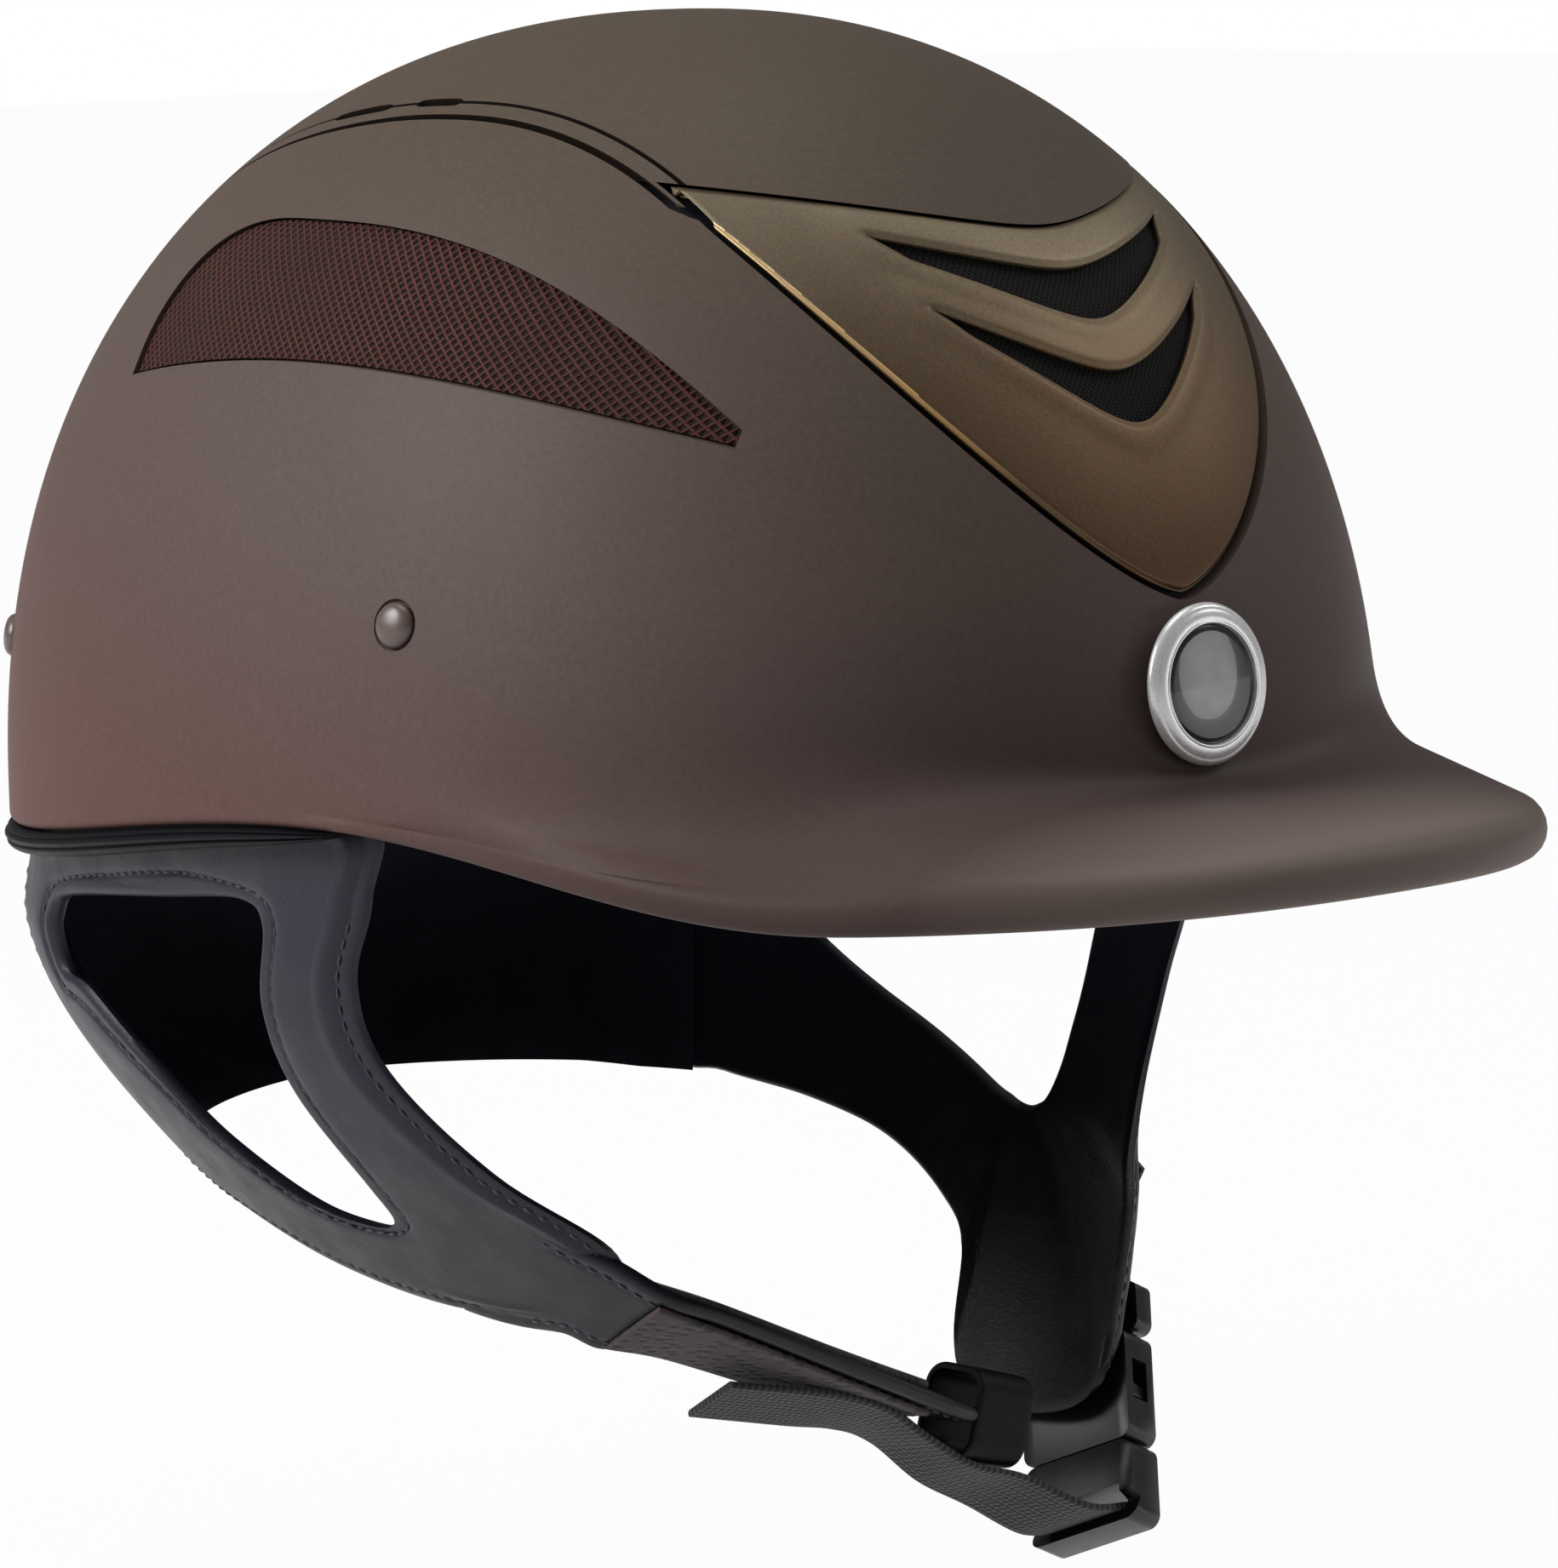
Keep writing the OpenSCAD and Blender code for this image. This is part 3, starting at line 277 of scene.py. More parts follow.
def skin(rings, first=None, last=None, loop=False):
    """Points and faces of a closed skin over rings of equal length."""
    R = np.asarray(rings, float)
    m, n = R.shape[:2]
    V = R.reshape(-1, 3)
    F = []
    for i in range(m if loop else m - 1):
        k = (i + 1) % m
        for j in range(n):
            j2 = (j + 1) % n
            F.append((i * n + j, i * n + j2, k * n + j2, k * n + j))
    if not loop:
        V = np.vstack([V, R[0].mean(0) if first is None else first, R[-1].mean(0) if last is None else last])
        F += [((j + 1) % n, j, m * n) for j in range(n)]
        F += [((m - 1) * n + j, (m - 1) * n + (j + 1) % n, m * n + 1) for j in range(n)]
    return V, F


def slab(front, back):
    """Points and faces of the solid between two equal grids."""
    A, B = np.asarray(front, float), np.asarray(back, float)
    m, n = A.shape[:2]
    V = np.vstack([A.reshape(-1, 3), B.reshape(-1, 3)])
    o = m * n
    F = []
    for i in range(m - 1):
        for j in range(n - 1):
            a = i * n + j
            F.append((a, a + 1, a + n + 1, a + n))
            F.append((o + a, o + a + n, o + a + n + 1, o + a + 1))
    edge = [i * n for i in range(m)] + [(m - 1) * n + j for j in range(1, n)]
    edge += [i * n + n - 1 for i in range(m - 2, -1, -1)] + list(range(n - 2, 0, -1))
    for k in range(len(edge)):
        a, b = edge[k], edge[(k + 1) % len(edge)]
        F.append((a, b, o + b, o + a))
    return V, F


def moved(shape, place):
    return [place @ Vector(p) for p in shape[0]], shape[1]


def lathe(profile, n, place):
    """Closed turned solid about z of [r, z] points, moved by a 4x4 in mm."""
    rings = [[(r * cosd(360 * k / n), r * sind(360 * k / n), z) for k in range(n)] for r, z in profile]
    return moved(skin(rings), place)


def spline(P, n, closed=False):
    P = np.asarray(P, float)
    m = len(P)
    out = []
    for i in range(m if closed else m - 1):
        if closed:
            a, b, c, d = (P[(i + k) % m] for k in (-1, 0, 1, 2))
        else:
            a, b, c, d = P[max(i - 1, 0)], P[i], P[i + 1], P[min(i + 2, m - 1)]
        for k in range(n):
            u = k / n
            out.append(0.5 * (2 * b + (c - a) * u + (2 * a - 5 * b + 4 * c - d) * u * u
                              + (3 * b - a - 3 * c + d) * u ** 3))
    if not closed:
        out.append(P[-1])
    return np.array(out)


def way(P):
    """Length along points, up to each of them."""
    return np.concatenate([[0], np.cumsum(np.linalg.norm(np.diff(P, axis=0), axis=1))])


def join(parts):
    V, F, at = [], [], 0
    for v, f in parts:
        V.append(np.asarray(v, float))
        F += [tuple(i + at for i in q) for q in f]
        at += len(v)
    return np.vstack(V), F


def cut(target, parts):
    """Take the parts away from the target."""
    cutter = build("cutter", join(parts), None, body=None)
    mod = target.modifiers.new("cut", "BOOLEAN")
    mod.operation = "DIFFERENCE"
    mod.solver = "EXACT"
    mod.object = cutter
    dg = bpy.context.evaluated_depsgraph_get()
    me = bpy.data.meshes.new_from_object(target.evaluated_get(dg))
    target.modifiers.clear()
    old = target.data
    target.data = me
    bpy.data.meshes.remove(old)
    bpy.data.objects.remove(cutter)


# Materials
SOCKETS = {"spec": "Specular IOR Level", "sheen": "Sheen Weight", "coat": "Coat Weight"}


class Nodes:
    """Small builder of shader nodes."""

    def __init__(self, tree, main):
        self.t, self.b = tree, tree.nodes[main]

    def put(self, socket, v):
        if isinstance(v, bpy.types.NodeSocket):
            self.t.links.new(v, socket)
        else:
            socket.default_value = (*v, 1) if socket.type == "RGBA" and len(v) == 3 else v

    def set(self, name, v):
        self.put(self.b.inputs[name], v)

    def node(self, kind, inputs=(), **props):
        x = self.t.nodes.new("ShaderNode" + kind)
        for k, v in props.items():
            setattr(x, k, v)
        for k, v in dict(inputs).items():
            self.put(x.inputs[k], v)
        return x

    def math(self, op, a, b=0.5, c=0.0):
        return self.node("Math", {0: a, 1: b, 2: c}, operation=op).outputs[0]

    def times(self, a, b):
        return self.math("MULTIPLY", a, b)

    def line(self, v, gain, start):
        return self.math("MULTIPLY_ADD", v, gain, start)


class Mat(Nodes):
    """Material; its coordinates are in mm."""

    def __init__(self, name, color, rough, **sockets):
        self.m = bpy.data.materials.new(name)
        self.m.use_nodes = True
        super().__init__(self.m.node_tree, "Principled BSDF")
        self.color(color)
        self.set("Roughness", rough)
        for k, v in sockets.items():
            self.set(SOCKETS.get(k, k), v)

    def color(self, v):
        self.set("Base Color", v)

    def mm(self, uv=False, scale=(1, 1, 1)):
        c = self.node("TexCoord").outputs["UV" if uv else "Object"]
        k = 1 if uv else MM
        return self.node("Mapping", {"Vector": c, "Scale": tuple(k * s for s in scale)}).outputs[0]

    def noise(self, vec, scale, detail=3, rough=0.5):
        ins = {"Vector": vec, "Scale": scale, "Detail": detail, "Roughness": rough}
        return self.node("TexNoise", ins).outputs["Fac"]

    def cells(self, vec, scale, out="Distance", edges=False):
        feature = "DISTANCE_TO_EDGE" if edges else "F1"
        return self.node("TexVoronoi", {"Vector": vec, "Scale": scale}, feature=feature).outputs[out]

    def ramp(self, fac, stops):
        r = self.node("ValToRGB", {"Fac": fac})
        e = r.color_ramp.elements
        while len(e) < len(stops):
            e.new(0.5)
        for i, (p, c) in enumerate(stops):
            e[i].position = p
            e[i].color = (c, c, c, 1) if not isinstance(c, tuple) else (*c, 1)
        return r.outputs[0]

    def blend(self, fac, a, b, kind="MIX"):
        return self.node("Mix", {0: fac, 6: a, 7: b}, data_type="RGBA", blend_type=kind).outputs[2]

    def bump(self, height, strength, mm=0.1, normal=None):
        ins = {"Height": height, "Strength": strength, "Distance": mm / MM}
        if normal is not None:
            ins["Normal"] = normal
        n = self.node("Bump", ins).outputs[0]
        self.set("Normal", n)
        return n

    def axis(self, vec, k):
        return self.node("SeparateXYZ", {0: vec}).outputs[k]

    def clamp(self, v):
        return self.node("Clamp", {"Value": v}).outputs[0]

    def grade(self, vec, k, gain, start):
        """Share from 0 to 1 that grows along an axis."""
        return self.clamp(self.line(self.axis(vec, k), gain, start))

    def crossed(self, u, w, ku, kw):
        """Height of two crossed rows of strands."""
        u, w = self.times(u, ku), self.times(w, kw)
        a, b = (self.math("SINE", self.math(op, u, w)) for op in ("ADD", "SUBTRACT"))
        return self.math("MAXIMUM", a, b)

    def level(self, h, stops):
        """Ramp over a height from -1 to 1."""
        return self.ramp(self.line(h, 0.5, 0.5), stops)


def shell_paint():
    """Matt brown with painted light and shade: redder low at the rear as painted light, darker at the peak's foot as
    painted shade and paler at its tip as a painted highlight.
    """
    g = Mat("shell_brown", (0.1, 0.07, 0.06), 0.6, spec=0.22)
    v = g.mm()
    # Painted light: the brown changes with height and from rear to front, in place of how the lamps fall on the shell
    z = g.line(g.axis(v, 2), 0.0065, 0.05)
    fac = g.clamp(g.math("SUBTRACT", z, g.times(g.axis(v, 1), 0.0016)))
    base = g.ramp(fac, [(0, (0.118, 0.055, 0.046)), (0.45, (0.104, 0.071, 0.064)), (1, (0.086, 0.064, 0.045))])
    spots = g.noise(v, 0.9, 4, 0.6)
    base = g.blend(0.10, base, g.ramp(spots, [(0.3, 0), (0.7, 1)]), "OVERLAY")
    # Painted shade at the peak's foot
    foot = g.times(g.grade(v, 1, -0.0167, -0.70), g.grade(v, 2, -0.026, 1.45))
    base = g.blend(g.times(foot, 0.52), base, (0.035, 0.024, 0.022))
    # Painted highlight at the peak's tip
    tip = g.grade(v, 1, -0.030, -4.0)
    base = g.blend(g.times(tip, 0.75), base, (0.20, 0.155, 0.135))
    g.color(base)
    g.set("Roughness", g.line(g.noise(v, 0.03, 3), 0.12, 0.52))
    n = g.bump(g.noise(v, 2.2, 3, 0.65), 0.22, 0.06)
    g.bump(g.noise(v, 0.05, 2), 0.12, 0.8, n)
    return g.m


def bronze():
    g = Mat("bronze_metallic", (0.3, 0.2, 0.1), 0.5, Metallic=0.5, spec=0.3)
    v = g.mm()
    flake = g.cells(v, 2.6, "Color")
    grain = g.noise(v, 1.7, 4, 0.7)
    # Painted light and shade: the bronze is darker towards the bottom and paler towards the top
    base = g.ramp(g.grade(v, 2, 0.0165, -0.95), [(0, (0.098, 0.050, 0.022)), (0.5, (0.185, 0.119, 0.065)),
                                                 (1, (0.285, 0.232, 0.152))])
    base = g.blend(0.22, base, g.ramp(grain, [(0.3, 0.05), (0.7, 0.95)]), "OVERLAY")
    base = g.blend(0.10, base, flake, "OVERLAY")
    # Painted shade: darker towards the panel's outer ends
    aside = g.clamp(g.line(g.math("ABSOLUTE", g.axis(v, 0)), 0.032, -0.42))
    base = g.blend(g.times(aside, 0.6), base, (0.045, 0.027, 0.016))
    g.color(base)
    g.set("Roughness", g.line(grain, 0.2, 0.42))
    g.bump(grain, 0.22, 0.05)
    return g.m


def painted_edge_highlight():
    """Painted highlight along the panel's lower edge, strongest at its upper ends."""
    g = Mat("bronze_edge_painted_highlight", (0.3, 0.2, 0.1), 0.36, Metallic=0.6, spec=0.5)
    v = g.mm()
    stops = [(0, (0.11, 0.065, 0.03)), (0.35, (0.5, 0.3, 0.12)), (1, (0.9, 0.66, 0.34))]
    g.color(g.ramp(g.grade(v, 2, 0.022, -1.55), stops))
    g.bump(g.noise(v, 1.7, 4, 0.7), 0.15, 0.04)
    return g.m


def vent_weave():
    """Knitted net: two crossed rows of strands with dark holes between."""
    g = Mat("vent_weave", (0.08, 0.03, 0.025), 0.7, spec=0.2)
    v = g.mm()
    h = g.crossed(g.axis(v, 1), g.axis(v, 2), 2.87, 3.5)
    frayed = g.math("ADD", h, g.line(g.noise(v, 1.1, 3), 0.9, -0.45))
    base = g.level(frayed, [(0.42, (0.002, 0.001, 0.001)), (0.72, (0.020, 0.007, 0.005)), (1, (0.115, 0.034, 0.026))])
    wide = g.ramp(g.noise(v, 0.035, 2), [(0.35, 0), (0.7, 0.5)])
    base = g.blend(wide, base, (0.03, 0.012, 0.009))
    g.color(base)
    g.bump(h, 0.9, 0.35)
    return g.m


def lining_cloth():
    """Spacer mesh with round holes in staggered rows."""
    g = Mat("lining_cloth", (0.012, 0.012, 0.013), 0.75, sheen=0.2)
    v = g.mm()
    hole = g.ramp(g.cells(v, 0.42), [(0.25, 0), (0.48, 1)])
    g.color(g.blend(hole, (0.0036, 0.0036, 0.0039), (0.05, 0.03, 0.03)))
    n = g.bump(hole, 0.6, 0.4)
    g.bump(g.noise(v, 2.5, 3), 0.4, 0.1, n)
    return g.m


def slot_net():
    g = Mat("slot_net", (0.02, 0.02, 0.02), 0.8, spec=0.15)
    v = g.mm()
    h = g.crossed(g.axis(v, 0), g.axis(v, 2), 5.4, 5.4)
    g.color(g.level(h, [(0.4, (0.002, 0.002, 0.002)), (1, (0.014, 0.013, 0.012))]))
    g.bump(h, 0.7, 0.2)
    return g.m


def leather():
    g = Mat("leather_navy", (0.01, 0.011, 0.016), 0.42, spec=0.34)
    v = g.mm()
    crease = g.ramp(g.cells(v, 0.95, edges=True), [(0, 0), (0.12, 1)])
    worn = g.noise(v, 0.06, 5, 0.65)
    # Painted shade: the leather darkens towards the bottom
    painted_shade_tone = g.ramp(g.grade(v, 2, 0.022, 1.72), [(0, (0.0065, 0.0068, 0.0110)), (1, (0.0200, 0.0205, 0.0340))])
    base = g.blend(g.ramp(worn, [(0.55, 0), (0.85, 0.4)]), painted_shade_tone, (0.030, 0.030, 0.043))
    g.color(g.blend(0.35, base, crease, "MULTIPLY"))
    g.set("Roughness", g.line(g.noise(v, 0.12, 4), 0.3, 0.3))
    n = g.bump(crease, 0.18, 0.12)
    g.bump(g.noise(v, 0.35, 3), 0.18, 0.35, n)
    return g.m


def webbing():
    g = Mat("black_webbing", (0.01, 0.01, 0.011), 0.72, sheen=0.3)
    v = g.mm(uv=True)
    u, w = g.axis(v, 0), g.axis(v, 1)
    chevron = g.math("PINGPONG", g.times(w, 2.2), 3.14)
    a = g.math("SINE", g.math("ADD", g.times(u, 4.4), chevron))
    b = g.math("SINE", g.times(w, 5.2))
    h = g.math("ADD", g.times(a, 0.6), g.times(b, 0.4))
    g.color(g.level(h, [(0.2, (0.004, 0.004, 0.004)), (1, (0.024, 0.024, 0.026))]))
    n = g.bump(h, 0.8, 0.22)
    g.bump(g.noise(g.mm(), 2.5, 3), 0.4, 0.1, n)
    return g.m


def moulded(name, color, rough, fine=0.12, **sockets):
    """Moulded plastic or rubber with a fine skin and slight wear."""
    g = Mat(name, color, rough, **sockets)
    v = g.mm()
    wear = g.noise(v, 0.11, 5, 0.7)
    hi = tuple(min(1, 2.0 * c + 0.01) for c in color)
    g.color(g.blend(g.ramp(wear, [(0.55, 0), (0.85, 0.6)]), color, hi))
    g.set("Roughness", g.line(g.noise(v, 0.35, 3), 0.16, rough - 0.08))
    g.bump(g.noise(v, 3.0, 3), fine, 0.04)
    return g.m


def metal(name, color, rough, pure=1.0):
    g = Mat(name, color, rough, Metallic=pure)
    v = g.mm()
    fine = g.noise(v, 1.6, 5, 0.7)
    g.color(g.blend(0.25, color, g.ramp(fine, [(0.3, 0.35), (0.7, 1)]), "MULTIPLY"))
    g.set("Roughness", g.line(fine, 0.2, rough - 0.1))
    g.bump(fine, 0.1, 0.03)
    return g.m


def beads():
    g = Mat("foam_beads", (0.02, 0.02, 0.021), 0.7)
    v = g.mm()
    e = g.ramp(g.cells(v, 0.36, edges=True), [(0, 0), (0.14, 1)])
    g.color(g.blend(e, (0.008, 0.008, 0.008), (0.026, 0.026, 0.027)))
    g.bump(e, 0.5, 0.3)
    return g.m


def thread(name, color):
    g = Mat(name, color, 0.6, sheen=0.3)
    v = g.mm()
    h = g.noise(v, 4.0, 2)
    g.color(g.blend(g.ramp(h, [(0.3, 0), (0.7, 1)]), tuple(0.5 * c for c in color), color))
    g.bump(h, 0.5, 0.08)
    return g.m


SHELL, BRONZE, VENT, CLOTH, NET = shell_paint(), bronze(), vent_weave(), lining_cloth(), slot_net()
LEATHER, WEB, FOAM, GLINT = leather(), webbing(), beads(), painted_edge_highlight()
RUBBER = moulded("bead_rubber", (0.0035, 0.004, 0.006), 0.5, spec=0.12)
PLASTIC = moulded("buckle_black", (0.008, 0.008, 0.008), 0.33, spec=0.5)
DISC = moulded("disc_black", (0.006, 0.006, 0.007), 0.2, fine=0.03, coat=0.6)
BRIGHT = metal("bezel_bright", (0.96, 0.95, 0.96), 0.3, 0.4)
STEEL = metal("washer_steel", (0.45, 0.45, 0.45), 0.4)
# Painted shade for the insides of the shell's grooves and exits
GROOVE_SHADE = moulded("shell_channel_painted_shade", (0.016, 0.011, 0.009), 0.7, spec=0.1)
# Rivet brown, a little paler than the shell's as a painted highlight, and glossier
RIVET = moulded("rivet_brown", (0.115, 0.078, 0.068), 0.34, fine=0.05, spec=0.7)
NAVY, DARK = thread("thread_navy", (0.012, 0.013, 0.03)), thread("thread_dark", (0.006, 0.006, 0.007))


# Shell
def vee(x, z, rise, soft):
    return z + rise * (np.sqrt(x * x + soft * soft) - soft)


def panel_low(x, grow=0.0):
    w = PANEL_W + grow
    h = PANEL_TOP - PANEL_TIP
    f = above(1 - np.minimum(1, np.abs(x) / w) ** (1 / 0.7)) ** (1 / 1.5)
    return PANEL_TOP - h * f - grow * (1 + 0.4 * np.abs(x) / w)


def panel_high(x, grow=0.0):
    return vee(x, PANEL_TOP - 5.1, 0.2, 10) + grow


# Slots of the panel: half length, then the height, rise and softness of the high and the low edge
CHEVRONS = [(34.5, 106.3, 0.25, 8, 97.5, 0.46, 6), (31.5, 89.1, 0.48, 8, 80.1, 0.77, 7)]
VENT_FRONT, VENT_REAR, VENT_FOOT, VENT_HIGH, VENT_PEAK = -86, 58.7, 91.6, 115.4, 20


def plate(columns, point, out, inn):
    """Solid between two depths of the dome; each column is a place and its heights."""
    grids = ([], [])
    for u, z in columns:
        for grid, d in zip(grids, (out, inn)):
            grid.append(stack(*point(u + 0 * z, z, d)))
    return slab(*grids)


def on_front(x, z, d):
    return x, dome_y(x, z, d), z


def front_piece(low, high, out, inn, cols=96, rows=26):
    columns = []
    for i in range(cols + 1):
        x = (PANEL_W + low) * sind(mix(-90, 90, i / cols))
        hi = panel_high(x, high)
        columns.append((x, mix(min(panel_low(x, low), hi - 1), hi, np.linspace(0, 1, rows + 1))))
    return plate(columns, on_front, out, inn)


def slot_edges(k, x, shrink=0.0):
    """Low and high edge of a chevron slot at x, closed to a point at its tips."""
    L, z1, r1, s1, z0, r0, s0 = CHEVRONS[k]
    lo, hi = vee(x, z0, r0, s0), vee(x, z1, r1, s1)
    taper = held((L - np.abs(x)) / 4.4) ** 0.8
    lo = hi - (hi - lo) * taper
    return lo + shrink * taper, hi - shrink * taper


def vent_floor(y, grow):
    return VENT_FOOT - 12 * ((y - 3) / 87) ** 2 - grow


def vent_roof(y, grow):
    drop = VENT_HIGH - vent_floor(VENT_FRONT, 0) - 3.2
    a = VENT_HIGH - drop * (above(VENT_PEAK - y) / (VENT_PEAK - VENT_FRONT)) ** 2.7 + grow
    tip, long = VENT_FOOT - 4.6, VENT_REAR - VENT_PEAK + 0.2 + max(0, grow)
    b = tip + (VENT_HIGH - tip) * above(1 - (above(y - VENT_PEAK) / long) ** 2.6) ** (1 / 2.6)
    return np.where(y < VENT_PEAK, a, b + grow)


def side_piece(side, grow, out, inn, cols=90, rows=10):
    columns = []
    for i in range(cols + 1):
        y = mix(VENT_FRONT - grow, VENT_REAR + grow, 0.5 - 0.5 * cosd(180 * i / cols))
        lo = vent_floor(y, grow)
        columns.append((y, mix(lo, max(lo + 0.5, vent_roof(y, grow)), np.linspace(0, 1, rows + 1))))
    return plate(columns, lambda y, z, d: (side * dome_x(y, z, d), y, z), out, inn)


def channel(y, offset=0.0):
    """Point of the shell beside the crown at y, offset outward across the channel."""
    x = 52.5 - (max(0, y - 20) ** 2) / 500 + offset
    return np.array([x, y, dome_z(x, y)])


def square_cut(P, widths, depths, side):
    """Cutter of a narrow slot along points of the dome, square to its surface."""
    T = unit(np.gradient(P, axis=0))
    e = 0.4
    rings = []
    for (x, y, z), t, w, d in zip(P, T, widths, depths):
        n = unit(np.array([dome_z(x - e, y) - dome_z(x + e, y), dome_z(x, y - e) - dome_z(x, y + e), 2 * e]))
        b = unit(np.cross(t, n)) * w / 2
        ring = [np.array([x, y, z]) + k * b + h * n for k, h in ((-1, 1.5), (1, 1.5), (1, -d), (-1, -d))]
        rings.append(np.array(ring) * (side, 1, 1))
    return skin(rings)


RIVETS = [(-35.5, 49.0), (110.3, 35.0)]
SIDES = (-1, 1)


def rivet_frames():
    """Places of the rivets, their z outward."""
    for side in SIDES:
        for y, z in RIVETS:
            n = side_normal(y, z)
            aim = Matrix.Rotation(math.atan2(n[1], side * n[0]), 4, "Z") @ Matrix.Rotation(math.acos(n[2]), 4, "Y")
            yield Matrix.Translation((side * dome_x(y, z), y, z)) @ aim


def shell_rings():
    """Rings from the crown's inside round the rim and the peak to its outside."""
    a = np.linspace(0, 360, 300, endpoint=False)
    start, r, zero = flare_start(a), edge_r(a), 0 * a
    rings = [shell_at(a, zero - WALL, ring_z(start, TOP - WALL, k, 24)) for k in range(23, 0, -1)]
    rings += [shell_at(a, *under_at(a, k / 13).T) for k in range(14)]
    for k in range(15):
        b = mix(-180, edge_from(a), k / 14)
        rings.append(shell_at(a, reach(a) - r + r * cosd(b), rim_z(a) + r + r * sind(b)))
    rings += [shell_at(a, *flare_at(a, k / 23).T) for k in range(22, -1, -1)]
    return rings + [shell_at(a, zero, ring_z(start, TOP, k, 60)) for k in range(1, 60)]


def slot_cutter(k):
    columns = []
    for x in (CHEVRONS[k][0] - 1.5) * sind(np.linspace(-90, 90, 60)):
        lo, hi = slot_edges(k, x, 0.6)
        columns.append((x, mix(min(lo, hi - 0.3), hi, np.linspace(0, 1, 5))))
    return plate(columns, on_front, -1, 6)


def channel_cutters(side):
    """Two narrow grooves that fade out to the rear, and two exits in the upper one."""
    grooves, exits = [], []
    for offset, wide, first, last in ((0.0, 0.85, -63.5, 72), (3.6, 1.5, -66, 84)):
        ys = np.linspace(first, last, 76)
        join_up = held((ys - ys[0]) / 8)
        fade = np.clip((last - ys) / 70, 0.02, 1) ** 0.5 * np.clip((ys - first + 1) / 5, 0.1, 1)
        pts = np.array([channel(y, offset * mix(0.35, 1, w)) for y, w in zip(ys, join_up)])
        grooves.append(square_cut(pts, wide * fade, 2.1 * fade, side))
    ends = np.sqrt(np.maximum(0.02, 1 - np.abs(np.linspace(-1, 1, 14)) ** 6))
    for first, last in ((2, 15), (21.5, 39.5)):
        pts = np.array([channel(y) for y in np.linspace(first, last, 14)])
        exits.append(square_cut(pts, 2.3 * ends, 7 + 0 * ends, side))
    return grooves, exits


def make_shell():
    shell = build("shell", skin(shell_rings(), [0, 0, TOP - WALL], [0, 0, TOP]), SHELL, body=None)
    recesses = [front_piece(1.4, 0.5, -3, 2.65)] + [side_piece(side, 0, -3, 2.1) for side in SIDES]
    through = [slot_cutter(k) for k in (0, 1)] + [side_piece(side, -2.5, 1.0, 6) for side in SIDES]
    (right, right_exits), (left, left_exits) = (channel_cutters(side) for side in SIDES)
    seats = []
    for f in rivet_frames():
        seats.append(lathe([(0.01, 3), (4.55, 3), (4.55, -0.3), (4.1, -0.8), (0.01, -0.8)], 40, f))
        seats.append(lathe([(0.01, -0.5), (2.3, -0.5), (2.3, -8), (0.01, -8)], 24, f))
    for parts in (recesses, through, right_exits + left_exits, right, left, seats):
        cut(shell, parts)
    me = shell.data
    shade(me, 32)
    # Painted shade: faces inside the grooves and exits take the dark brown
    me.materials.append(GROOVE_SHADE)
    for f in me.polygons:
        x, y, z = face_centre(f)
        if 15 < abs(x) < 62 and -59 < y < 92 and z > 60 and 0.18 < dome_z(x, y) - z < 3.1:
            f.material_index = 1
    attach(shell, "helmet")
    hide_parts("outer_shell")


def make_panel():
    cols = 150
    xs = (PANEL_W - 0.35) * sind(np.linspace(-90, 90, cols + 1))
    stops = []
    for x in xs:
        low, high = panel_low(x), panel_high(x)
        row = [low]
        for k in (1, 0):
            L = CHEVRONS[k][0]
            if abs(x) < L:
                lo, hi = slot_edges(k, x)
            else:
                l0, h0 = panel_low(L), panel_high(L)
                share = (slot_edges(k, L)[1] - l0) / (h0 - l0)
                lo = hi = low + (high - low) * share
            row += [lo, hi]
        stops.append(row + [high])
    edges = np.array(stops).T

    def relief(x, z):
        """Height of the panel's face over its plain surface."""
        near = 9.0
        for k in (0, 1):
            L = CHEVRONS[k][0]
            lo, hi = slot_edges(k, np.clip(x, -L, L))
            dz = max(0.0, lo - z, z - hi) * 0.85
            near = min(near, math.hypot(max(0.0, abs(x) - L), dz))
        raised = 0.42 / (1 + math.exp((near - 3.9) / 0.75)) - 0.6 * bell(near, 0.55)
        low, high = panel_low(x), panel_high(x)
        edge = min((z - low) * 0.72, (high - z) * 0.95, (PANEL_W - abs(x)) * 0.8 + 0.2)
        return raised - 0.75 * bell(max(0, edge), 0.55)

    V, F, at = [], [], 0
    for b, rows in ((0, 40), (2, 16), (4, 14)):
        t = 0.5 - 0.5 * np.cos(np.pi * np.linspace(0, 1, rows + 1))
        for i, x in enumerate(xs):
            for u in t:
                z = mix(edges[b][i], edges[b + 1][i], u)
                d = 0.1 - relief(x, z)
                V.append((x, dome_y(x, z, d), z))
        for i in range(cols):
            for j in range(rows):
                p = at + i * (rows + 1) + j
                F.append((p, p + rows + 1, p + rows + 2, p + 1))
        at += (cols + 1) * (rows + 1)
    panel = build("front_panel_bronze", (V, F), BRONZE, merge=0.02, close=False, smooth=50, slot="bronze",
                  node="front_panel")
    # Painted highlight: faces along the panel's lower edge take the bright edge material
    panel.data.materials.append(GLINT)
    for f in panel.data.polygons:
        x, _, z = face_centre(f)
        if z - panel_low(x) < 0.95:
            f.material_index = 1
    mod = panel.modifiers.new("thick", "SOLIDIFY")
    mod.thickness = 0.0013
    mod.offset = -1
    # Painted shade: a black sheet under the gap round the panel makes the gap dark
    build("panel_gap_shade_sheet", front_piece(1.35, 0.45, 2.3, 2.62, 90, 14), RUBBER, slot="slot_mesh")
    build("slot_netting", front_piece(-3, -1, 1.75, 2.15, 60, 14), NET, slot="slot_mesh", node="front_mesh")
    for side, word in zip(SIDES, ("right", "left")):
        mesh = side_piece(side, -0.4, 0.9, 1.6, 110, 16)
        build("vent_weave_" + word, mesh, VENT, slot="vent_mesh", node="side_mesh_" + word)


